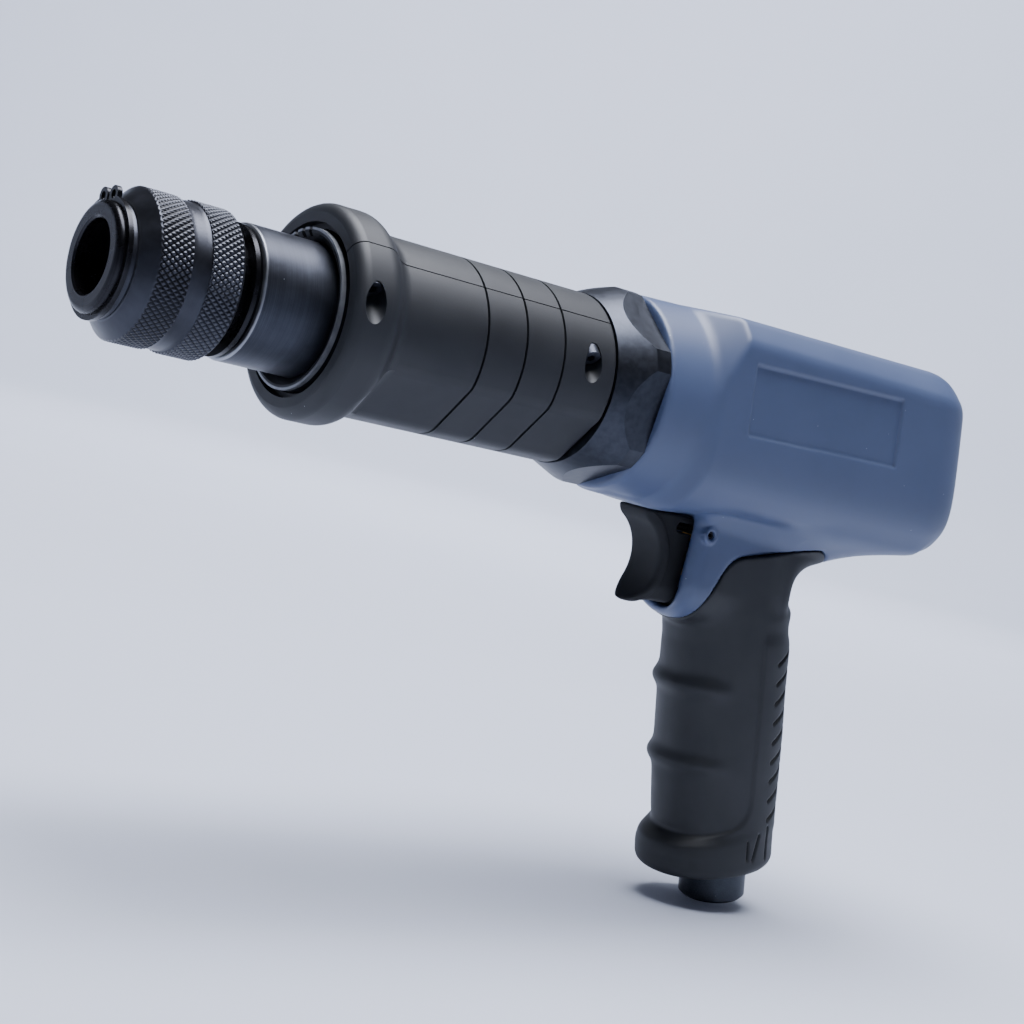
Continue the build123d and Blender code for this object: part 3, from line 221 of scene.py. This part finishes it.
# The turned profile, round the outside from the front and back through the bore: x, radius, steps to the next.
stops = [
    (17.1, sleeve_bore, 1), (17.1, 13.8, 1), (17.0, 13.9, 2), (15.8, 13.9, 1), (15.8, 14.1, 2), (15.68, 14.3, 9),
    (12.05, sleeve_radius - 0.12, 1), (knurl_front[0], sleeve_radius, 40), (knurl_front[1], sleeve_radius, 2),
    (3.85, 18.0, 2), (3.6, band_radius, 4), (-0.8, band_radius, 2), (-1.05, 18.0, 2),
    (knurl_rear[0], sleeve_radius, 40), (knurl_rear[1], sleeve_radius, 3), (-10.0, 17.65, 1),
    (-10.0, spring_room, 3), (0.5, spring_room, 2), (0.5, sleeve_bore, 2), (3.0, 13.35, 3),
    (10.5, ball_groove, 1), (11.7, ball_groove, 2), (14.0, sleeve_bore, 2)]
profile = np.concatenate([
    run(stop[:2], after[:2], stop[2]) for stop, after in zip(stops, stops[1:] + stops[:1])])
turn = np.arange(diamonds * points_to_diamond) / (diamonds * points_to_diamond)
along, radius = profile[:, :1], profile[:, 1:]
outer = radius > sleeve_radius - 0.01


def saw(count):
    """Nought on each groove line of the knurl, one half way between two."""
    return 1 - np.abs(2 * (count % 1) - 1)


crest = np.minimum(saw(diamonds * turn + along / diamond_pitch), saw(diamonds * turn - along / diamond_pitch))
sharp = outer & (along <= knurl_front[0]) & (along >= knurl_front[1])
blunt = outer & (along <= knurl_rear[0]) & (along >= knurl_rear[1])
height = np.where(sharp, crest, np.where(blunt, np.minimum(1.9 * crest, 1), 1))
sink = radius - knurl_depth * (1 - height)
points = np.stack([along + 0 * turn, sink * np.sin(2 * np.pi * turn), sink * np.cos(2 * np.pi * turn)], -1)

# Rolled, then blackened: black in the grooves, cloudy grey black between, dull grey on the rubbed crests.
material, tree, place = open_material("knurled_black_oxide")
worn = add(tree, "Attribute", attribute_name="crest").outputs["Fac"]
cloud = add(tree, "TexNoise", {"Vector": place, "Scale": 1000 / 7, "Detail": 5.0, "Roughness": 0.6})
rub = add(tree, "MapRange", {0: worn, 1: 0.65, 2: 1.0, 3: 0.0, 4: 1.0})
groove = add(tree, "MapRange", {0: worn, 1: 0.05, 2: 0.45, 3: 1.0, 4: 0.0})
part = add(tree, "Math", {0: rub.outputs[0], 1: cloud.outputs[0]}, operation="MULTIPLY")
base = add(tree, "Mix", {0: cloud.outputs[0], 6: linear("#232429"), 7: linear("#45474f")}, data_type="RGBA")
base = add(tree, "Mix", {0: groove.outputs[0], 6: base.outputs[2], 7: linear("#070708")}, data_type="RGBA")
colour = add(tree, "Mix", {0: part.outputs[0], 6: base.outputs[2], 7: linear("#5a5c62")}, data_type="RGBA")
matt = add(tree, "MapRange", {0: cloud.outputs[0], 1: 0.3, 2: 0.7, 3: 0.3, 4: 0.42})
fine = add(tree, "TexNoise", {"Vector": place, "Scale": 1000 / 0.3, "Detail": 2.0})
bump = add(tree, "Bump", {"Height": fine.outputs[0], "Strength": 0.15, "Distance": 0.00003})
shader = add(tree, "BsdfPrincipled", {
    "Base Color": colour.outputs[2], "Metallic": 0.85, "Roughness": matt.outputs[0], "Normal": bump.outputs[0]})
add(tree, "OutputMaterial", {0: shader.outputs[0]})
sleeve = piece("knurled_sleeve", points.reshape(-1, 3), ring_faces(len(profile), len(turn)), material, "sleeve",
               "black_steel", "retainer_sleeve")
edge = (np.abs(radius - edge_radius) < 0.12) & (along > 15.6)
worn_share = np.where(sharp | blunt, height, np.where(edge, 1, 0.5))
wear = sleeve.data.attributes.new("crest", "FLOAT", "POINT")
wear.data.foreach_set("value", worn_share.astype(np.float32).ravel())

# Front grip: two half shells of black nylon from a grained mould, screwed together round the barrel, with a
# dished ring nut in the mouth and a steel hex nut behind, both blackened and scuffed by the spanner.
# Grained nylon is a soft, even black; the two nuts show thin, rubbed oxide.
shell_nylon = matt_black("grained_black_nylon", "#101217", "#171a20", 0.54, 0.35, 0.35, 0.25)
dress(shell_nylon, "front_grip_lower", "front_grip_upper")
dress(black_oxide("worn_ring_nut", "#1b1c1f", "#2b2d32", 0.45, 0.2, 0.1, -36.2, 19.7), "grip_ring_nut")
dress(plain_metal("scuffed_black_oxide", "#2a2c32", "#454850", 0.42, 2.0), "housing_nut")

# Housing: glass filled nylon, blue grey, moulded in one: a round nose that swells to a flat sided block, the
# neck with the trigger's slot, and the web behind the handle. All edges are soft, from a fine grained mould.
body_front, body_rear, body_top, body_half_width = -135.6, -261.3, 27.33, 30.5
rear_lean = np.tan(np.radians(10.9))
bore_radius, bore_end = 24.1, -207.1
neck_front, neck_low, neck_bend, neck_half_width = -172.4, -62.0, -47.5, 14.5
slot_middle, slot_reach, slot_top, slot_bend, slot_half_width = -174.0, 6.1, -29.2, -48.1, 8.3
pin_x, pin_z, pin_hole_radius = -175.15, -33.0, 1.25
boss_radius, boss_face = 2.5, 14.9
rubber_gap = 0.15


def ease(share):
    """Nought to one with level ends."""
    share = np.clip(share, 0, 1)
    return share * share * (3 - 2 * share)


def soft_max(one, other, blend):
    """Greater of two fields, with the corner between them rounded where they differ by less than the blend."""
    near = np.maximum(blend - np.abs(one - other), 0) / blend
    return np.maximum(one, other) + near * near * blend / 4


def soft_min(one, other, blend):
    """Smaller of two fields, with the inner corner between them filled in."""
    return -soft_max(-one, -other, blend)


def skin(field, low, high, pitch):
    """Skin of a solid that is given as a field, negative inside. A lattice fills the box; each cell that the
    skin crosses gets one point, the mean of the crossings on its edges, which is then drawn on to the skin
    along the field's slope; each lattice edge that the skin crosses gets one face."""
    ticks = [np.arange(a, b + pitch, pitch, dtype=np.float32) for a, b in zip(low, high)]
    value = field(*np.meshgrid(*ticks, indexing="ij", sparse=True)).astype(np.float32)
    cells = np.array(value.shape) - 1
    corner = np.array([(a, b, c) for a in (0, 1) for b in (0, 1) for c in (0, 1)])
    inside = value < 0
    count = sum(inside[a:a + cells[0], b:b + cells[1], c:c + cells[2]].astype(np.int8) for a, b, c in corner)
    spot = np.argwhere((count > 0) & (count < 8))
    number = np.full(cells, -1, np.int64)
    number[tuple(spot.T)] = np.arange(len(spot))
    at = [value[tuple((spot + c).T)] for c in corner]
    total, crossings = np.zeros((len(spot), 3)), np.zeros(len(spot))
    for first in range(8):
        for second in range(first + 1, 8):
            if np.abs(corner[first] - corner[second]).sum() == 1:
                cut = (at[first] < 0) != (at[second] < 0)
                share = at[first] / np.where(cut, at[first] - at[second], 1)
                between = corner[first] + share[:, None] * (corner[second] - corner[first])
                total += np.where(cut[:, None], between, 0)
                crossings += cut
    points = np.array(low) + pitch * (spot + total / crossings[:, None])
    faces = []
    for axis in range(3):
        one, two = (axis + 1) % 3, (axis + 2) % 3
        start = [slice(1, n) for n in cells]
        start[axis] = slice(0, cells[axis])
        end = list(start)
        end[axis] = slice(1, cells[axis] + 1)
        into = inside[tuple(start)]
        edge = np.argwhere(into != inside[tuple(end)])
        out = into[tuple(edge.T)]
        edge[:, one] += 1
        edge[:, two] += 1
        step_one, step_two = np.eye(3, dtype=int)[one], np.eye(3, dtype=int)[two]
        around = [edge - step_one - step_two, edge - step_two, edge, edge - step_one]
        quad = np.stack([number[tuple(c.T)] for c in around], -1)
        faces.append(np.where(out[:, None], quad, quad[:, ::-1]))
    faces = np.concatenate(faces)
    nudge = pitch / 4
    for _ in range(3):
        here = field(*points.T)
        slope = np.stack([
            (field(*(points + nudge * way).T) - field(*(points - nudge * way).T)) / (2 * nudge)
            for way in np.eye(3)], -1)
        move = -(here / np.maximum((slope ** 2).sum(-1), 0.05))[:, None] * slope
        far = np.maximum(np.linalg.norm(move, axis=-1, keepdims=True), 1e-9)
        points = points + move * np.minimum(1, 0.5 * pitch / far)
    return points, faces


def rubber_edge(x, z):
    """Side view of the rubber, negative inside: below the long edge under the body, and either behind the
    slanted edge on the neck or below the neck."""
    long_edge = (z + 36.4 + (x + 193.3) * 0.2297) * 0.975
    slant = soft_max((x + 175.6 + (z + 62) * 0.4286) * 0.919, x + 178.8, 2)
    tip = (-x + z - 190.2) * 0.707
    return soft_max(soft_max(long_edge, soft_min(slant, z + 66, 3), 4.5), tip, 3.5)


def neck_field(x, y, z):
    """Neck and web: the side view, rounded at its edges, with a round floor; its sides flare out under the rear
    of the body."""
    flare = 7 * ease((-180 - x) / 40) * ease((z + 34) / 10)
    outline = soft_max(x - neck_front, neck_low - z, 15)
    web = soft_min(-214.3 - x, (-33.55 - (x + 227.5) * 0.377 - z) * 0.97, 6.5)
    across = np.where(z > neck_bend, np.abs(y), np.hypot(y, z - neck_bend)) - neck_half_width - flare
    shape = soft_max(across, soft_max(outline, web, 1), 5)
    return np.maximum(np.maximum(shape, z + 16), -250 - x)


def slot_field(x, y, z):
    """Room for the trigger in the neck: two flat sides, a round floor and a level top."""
    across = np.where(z > slot_bend, np.abs(y), np.hypot(y, z - slot_bend)) - slot_half_width
    return np.maximum(np.maximum(across, z - slot_top), np.abs(x - slot_middle) - slot_reach)


def housing_field(x, y, z):
    """The block inside a swelling round, joined with the keel, the neck and the pin's bosses; slot, bore, pin hole
    and the rubber's side of its edge taken out."""
    side, behind, out = np.abs(y), body_front - x, np.hypot(y, z)
    nose = 27.8 + 1.6 * np.clip(behind / 15, 0, 1)
    swollen = 33.4 + 3.6 * ease((z + 6) / 12)
    swell = soft_min(soft_max(nose, 29.4 + 1.1 * (behind - 15), 1.6), swollen, 0.8)
    body = out - swell
    body = soft_max(body, side - body_half_width, 3.4 - 2 * ease((z + 4) / 12))
    body = soft_max(body, z - body_top - 0.013 * behind, 1.6)
    low = 29.2 - 3.4 * ease((behind - 18) / 24) + 0.7 * ease((behind - 55) / 35)
    body = soft_max(body, -z - low, 2.75)
    body = soft_max(body, body_rear + rear_lean * z - x + 0.8 * (out * out / 784 - 1), 18)
    body = soft_max(body, x - body_front, 1.2)
    keel = soft_max(side - 6 - 8.5 * ease((-141 - x) / 26), -z - 27.6, 3)
    keel = np.maximum(np.maximum(keel, x + 141), np.maximum(-205 - x, z + 15))
    shape = soft_min(soft_min(body, keel, 3), neck_field(x, y, z), 5)
    from_pin = np.hypot(x - pin_x, z - pin_z)
    shape = soft_min(shape, np.maximum(from_pin - boss_radius, side - boss_face), 0.4)
    shape = soft_max(shape, -slot_field(x, y, z), 2.4)
    shape = np.maximum(shape, pin_hole_radius - from_pin)
    shape = soft_max(shape, rubber_gap - rubber_edge(x, z), 0.5)
    return np.maximum(shape, -np.maximum(out - bore_radius, bore_end - x))


# The bare plate's ends lean forward and it tilts up to the rear, so the housing's lattice leans and tilts too.
plate_front, plate_rear, plate_low = -164.35, -224.1, -2.55
pitch = (plate_front - plate_rear) / 80
plate_high = plate_low + 26 * pitch
plate_depth = 0.7
plate_lean, plate_tilt = 0.155, 0.0275


def leaned(along, across, up):
    """Place on the tool of a point of the leaning lattice: up carries it forward, along carries it down."""
    return along + plate_lean * up, across, up - plate_tilt * (along + 193)


def leaned_field(along, across, up):
    """The housing's field over the leaning lattice."""
    return housing_field(*leaned(along, across, up))


corner = (plate_rear - 54 * pitch, -44.5 * pitch, plate_low - 83 * pitch)
points, faces = skin(leaned_field, corner, (-130.6, 32.8, 30.8), pitch)
# The lattice has rows half a pitch either side of the plate's edges: drawn together, they make a crisp step.
row_at = pitch * np.array((0, 0.5, 1.5, 2.5, 3.0))
row_drawn_to = pitch * np.array((0, 0.12, 1.2, 2.42, 3.0))
flat = points[:, 1] > body_half_width - 0.1
for axis, edges in ((0, (plate_rear, plate_front)), (2, (plate_low, plate_high))):
    for edge in edges:
        off = points[:, axis] - edge
        drawn = edge + np.sign(off) * np.interp(np.abs(off), row_at, row_drawn_to)
        points[:, axis] = np.where(flat & (np.abs(off) < 3 * pitch), drawn, points[:, axis])
in_plate = np.minimum(
    np.minimum(points[:, 0] - plate_rear, plate_front - points[:, 0]),
    np.minimum(points[:, 2] - plate_low, plate_high - points[:, 2]))
points[:, 1] -= plate_depth * flat * (in_plate > 0)
points = np.stack(leaned(*points.T), -1)

# Grained nylon: a soft satin sheen, slow drift in tone and a little dust. The grain is drawn coarser than a mould
# leaves it, so that it shows.
material, tree, place = open_material("grained_blue_grey_nylon")
grain = add(tree, "TexNoise", {"Vector": place, "Scale": 1000 / 0.4, "Detail": 2.0, "Roughness": 0.6})
drift = add(tree, "TexNoise", {"Vector": place, "Scale": 1000 / 22, "Detail": 4.0})
colour = add(tree, "Mix", {0: drift.outputs[0], 6: linear("#414d69"), 7: linear("#4a5673")}, data_type="RGBA")
dusty = dust(tree, place, colour.outputs[2], 0.3, 0.22)
matt = add(tree, "MapRange", {0: drift.outputs[0], 1: 0.3, 2: 0.7, 3: 0.42, 4: 0.5})
bump = add(tree, "Bump", {"Height": grain.outputs[0], "Strength": 0.25, "Distance": 0.00005})
shader = add(tree, "BsdfPrincipled", {
    "Base Color": dusty, "Roughness": matt.outputs[0], "IOR": 1.5, "Normal": bump.outputs[0]})
add(tree, "OutputMaterial", {0: shader.outputs[0]})
piece("housing_moulding", points, faces, material, "housing", "housing_nylon", "main_housing")

# Trigger: moulded black nylon, a spoon shaped finger plate on a block that slides in the slot, notched for the pin.
# The pin is a slit tube of spring steel, pressed across the slot.
brow_x, trigger_top, trigger_rear = -157.0, -29.7, -175.2
finger_x, finger_z, finger_reach = -152.56, -44.76, 13.13
block_half_width, plate_extra, trigger_bend = 6.5, 0.8, -49.9
notch_x, notch_radius = -170.65, 1.5


def trigger_field(x, y, z):
    """Plate and block ahead of the rear face; the finger face is hollowed by a cylinder across the tool, with a
    blunt brow above."""
    side = np.abs(y)
    away = np.hypot(x - finger_x, z - finger_z)
    front = finger_reach + 0.3 * (1 - np.minimum(side / 6.6, 1) ** 2) - away
    plate = 1 - ease((away - finger_reach - 2.6) / 0.8)
    half = block_half_width + plate_extra * plate
    across = np.where(z > trigger_bend, side, np.hypot(side, z - trigger_bend)) - half
    shape = soft_max(across, soft_max(front, x - brow_x, 2.5), 2)
    shape = soft_max(shape, z - trigger_top, 0.8)
    shape = soft_max(shape, -57.5 + 1.8 * ease((-164 - x) / 5) - z, 1.5)
    shape = soft_max(shape, trigger_rear - x, 0.6)
    round_end = np.hypot(x - notch_x, z - pin_z) - notch_radius
    notch = np.minimum(round_end, np.maximum(x - notch_x, np.abs(z - pin_z) - notch_radius))
    return soft_max(shape, -notch, 0.3)


points, faces = skin(trigger_field, (-176.4, -8.1, -58.6), (-155.5, 8.1, -28.8), 0.3)
# Dull nylon: a deep black with next to no sheen.
trigger_nylon = matt_black("matt_black_nylon", "#07080b", "#0d0f14", 0.78, 0.3, 0.15, 0.12)
piece("trigger_spoon", points, faces, trigger_nylon, "trigger_group", "black_nylon", "trigger")
dress(plain_metal("spring_pin_steel", "#1d1d20", "#4a4a4e", 0.4, 0.4), "trigger_pin")

# Handle grip: black rubber moulded over the handle, with two finger ridges, a raised back strap that runs down
# into the flared foot, slanted slits across the back, and three engraved bars low on the left.
rake = np.radians(12.5)
axis_x = -194.0
# Oval sections down the handle's axis: station, reach ahead, reach behind, half width.
sections = np.array([
    (30, 26, 16.8, 16), (40, 25.5, 16.5, 16), (49, 24.4, 16.3, 16), (53, 24.1, 16.3, 16), (55.5, 24, 18.0, 16),
    (58.5, 23.7, 17.5, 16), (62, 23.2, 16.6, 16), (66, 23.4, 17.6, 16), (70, 23.4, 17.5, 16),
    (80, 23.6, 17.5, 16), (93.5, 23.4, 18, 16), (103, 23.3, 18, 16), (116, 22.2, 17.8, 16),
    (120.4, 21.4, 17.6, 16.2), (123, 26.2, 18.3, 17.2), (126, 27.1, 18.3, 17.4), (134, 26.6, 18.6, 17.4),
    (140, 26.6, 18.8, 17.4)])
spread = np.arange(28, 141, 0.25)
bell = np.exp(-np.linspace(-3, 3, 17) ** 2 / 2)
bell /= bell.sum()


def smooth(reach):
    """A reach along the handle, with the corners at its stations blurred over about a millimetre."""
    straight = np.interp(spread, sections[:, 0], reach)
    return np.convolve(np.pad(straight, 8, "edge"), bell, "valid")


front_reach, rear_reach, half_width = smooth(sections[:, 1]), smooth(sections[:, 2]), smooth(sections[:, 3])
ridge_stations, ridge_height, ridge_spread = (75.0, 98.5), 1.3, 2.7
strap_height, foot_end = 0.55, 134.1
slit_first, slit_pitch, slit_count, slit_slope, slit_reach = 62.4, 6.05, 9, 0.32, 21.0
cut_depth, cut_half_width = 1.1, 0.4
# Ends of the bars: each as a place down the handle and a place ahead of its axis.
bars = (((119.9, -6.7), (129.6, -6.5)), ((121.3, -2.2), (128.6, 0.2)), ((122.7, 2.6), (128.0, 2.6)))


def handle_place(x, z):
    """Side view of a place in the handle's own frame: down its raked axis, and ahead of the axis."""
    from_axis = x - axis_x
    return -from_axis * np.sin(rake) - z * np.cos(rake), from_axis * np.cos(rake) - z * np.sin(rake)


def engraving(x, y, z):
    """One in the middle of a slit across the back or of a bar on the left, falling off as a bell curve."""
    down, ahead = handle_place(x, z)
    middle = (np.interp(down, spread, front_reach) - np.interp(down, spread, rear_reach)) / 2
    round_back = 18.5 * np.arctan2(np.abs(y) * 1.15, -(ahead - middle))
    slit = down - slit_slope * round_back - slit_first
    which = np.clip(np.round(slit / slit_pitch), 0, slit_count - 1)
    off = np.hypot(slit - which * slit_pitch, np.maximum(round_back - slit_reach, 0))
    cut = np.exp(-(off / cut_half_width) ** 2)
    for (top, top_ahead), (end, end_ahead) in bars:
        length = np.hypot(end - top, end_ahead - top_ahead)
        share = ((down - top) * (end - top) + (ahead - top_ahead) * (end_ahead - top_ahead)) / length ** 2
        share = np.clip(share, 0, 1)
        off = np.hypot(down - top - share * (end - top), ahead - top_ahead - share * (end_ahead - top_ahead))
        cut = np.maximum(cut, 0.8 * np.exp(-(off / cut_half_width) ** 2) * (y > 0))
    return cut


def handle_field(x, y, z):
    """Oval sections along the raked axis with ridges and strap, less the engraving, joined with the neck and kept
    to the rubber's side of its edge; the trigger's slot taken out."""
    down, ahead = handle_place(x, z)
    front, rear = np.interp(down, spread, front_reach), np.interp(down, spread, rear_reach)
    half = np.interp(down, spread, half_width)
    middle, depth = (front - rear) / 2, (front + rear) / 2
    across, side = (ahead - middle) / depth, np.abs(y) / half
    power = np.where(across < 0, 2.0, 2.2)
    shape = ((np.abs(across) ** power + side ** power) ** (1 / power) - 1) * 0.9 * half
    facing = ease((across - 0.3) / 0.6)
    for place in ridge_stations:
        from_ridge = down - place - 1.5 * (1 - facing)
        shape = shape - ridge_height * facing * np.exp(-(from_ridge / ridge_spread) ** 2)
    strap = soft_max(1.9 - ahead, down - 116.9 - 0.2 * ahead, 8)
    shape = shape - strap_height * ease(0.5 + strap / 1.4) * ease((down - 58.5) / 5) * (1 - ease((down - 120) / 4))
    shape = shape + cut_depth * engraving(x, y, z)
    shape = soft_min(np.maximum(shape, 30 - down), neck_field(x, y, z), 1.5)
    shape = soft_max(shape, down - foot_end + 0.025 * ahead, 4)
    shape = np.maximum(shape, -slot_field(x, y, z))
    return soft_max(shape, rubber_edge(x, z) + rubber_gap, 0.5)


points, faces = skin(handle_field, (-243.0, -18.6, -137.0), (-167.0, 18.7, -28.0), 0.47)
# Moulded rubber: an even, dull black with a fine grain, with painted shade darkening the cuts.
grip_rubber = matt_black("moulded_grip_rubber", "#0f1115", "#15181c", 0.58, 0.4, 0.35, 0.12, "engraved")
handle = piece("handle_rubber", points, faces, grip_rubber, "housing", "grip_rubber", "handle_grip")
# The engraving's strength at each point; the rubber's material paints shade there.
cut = handle.data.attributes.new("engraved", "FLOAT", "POINT")
cut.data.foreach_set("value", engraving(*points.T).astype(np.float32))

# Air inlet: turned steel bushing with a pipe thread for an air fitting, screwed into the handle's foot and
# blackened: grey black with faint turning lines.
dress(black_oxide("inlet_black_oxide", "#34373c", "#4f535a", 0.42, 0.2, 0.15), "air_inlet")

# Studio, in metres: a pale floor that sweeps up all round, soft light from above, lamps turned on to the walls,
# and the camera.
floor_level, floor_middle = -0.1434, -0.12
floor_flat, floor_bend = 2.2, 1.2
turn = np.linspace(0, 2 * np.pi, 97)[:-1]
bend = np.linspace(0, np.pi / 2, 16)
reach = np.concatenate([[0.0, 0.5, 1.2], floor_flat + floor_bend * np.sin(bend)])
rise = np.concatenate([[0, 0, 0], floor_bend * (1 - np.cos(bend))]) + floor_level
points = np.stack([
    np.outer(reach, np.cos(turn)) + floor_middle, np.outer(reach, np.sin(turn)),
    np.repeat(rise[:, None], len(turn), 1)], -1)
faces = ring_faces(len(reach), len(turn))[:(len(reach) - 1) * len(turn)]
mesh = bpy.data.meshes.new("studio_floor")
mesh.from_pydata(points.reshape(-1, 3).tolist(), [], faces.tolist())
mesh.polygons.foreach_set("use_smooth", np.ones(len(mesh.polygons), bool))
# Painted board: nearly even, so that the tool and its shadow stand out.
material, tree, place = open_material("pale_floor")
tone = add(tree, "TexNoise", {"Vector": place, "Scale": 3.0})
colour = add(tree, "Mix", {0: tone.outputs[0], 6: linear("#b7bdcc"), 7: linear("#bec3d1")}, data_type="RGBA")
shader = add(tree, "BsdfPrincipled", {"Base Color": colour.outputs[2], "Roughness": 0.7})
add(tree, "OutputMaterial", {0: shader.outputs[0]})
mesh.materials.append(material)
floor = bpy.data.objects.new("studio_floor", mesh)
bpy.context.scene.collection.objects.link(floor)

world = bpy.data.worlds.new("studio")
world.use_nodes = True
world.node_tree.nodes["Background"].inputs[0].default_value = linear("#dfe6ff")
world.node_tree.nodes["Background"].inputs[1].default_value = 0.05
bpy.context.scene.world = world
# Each lamp: where it hangs, where it points, how wide it is, and its power in watts.
lights = {
    "overhead": ((-0.15, 0.0, 0.95), (-0.13, 0, 0), 0.9, 40.0),
    "backdrop": ((-0.9, -1.0, 1.6), (-2.2, -2.4, 0.2), 1.2, 130.0),
    "right_wall": ((0.7, -1.0, 1.6), (2.0, -2.4, 0.2), 1.2, 45.0),
    "front_wall": ((0.7, 1.0, 1.6), (2.0, 2.4, 0.2), 1.2, 10.0),
    "left_wall": ((-0.9, 1.0, 1.6), (-2.2, 2.4, 0.2), 1.2, 20.0),
}
for name, (where, aim, size, watts) in lights.items():
    lamp = bpy.data.lights.new(name, "AREA")
    lamp.shape, lamp.size, lamp.energy = "DISK", size, watts
    lamp.color = linear("#f2f5ff")[:3]
    holder = bpy.data.objects.new(name, lamp)
    holder.location = where
    toward = Vector(aim) - Vector(where)
    holder.rotation_mode = "QUATERNION"
    holder.rotation_quaternion = toward.to_track_quat("-Z", "Y")
    bpy.context.scene.collection.objects.link(holder)

eye = bpy.data.cameras.new("camera")
eye.sensor_width, eye.lens = 36.0, 70.3125
eye.clip_start, eye.clip_end = 0.01, 20.0
camera = bpy.data.objects.new("camera", eye)
camera.location = (0.21496, 0.42818, -0.00864)
camera.rotation_mode = "QUATERNION"
camera.rotation_quaternion = (0.149867, 0.298403, 0.619121, 0.710764)
bpy.context.scene.collection.objects.link(camera)
bpy.context.scene.camera = camera
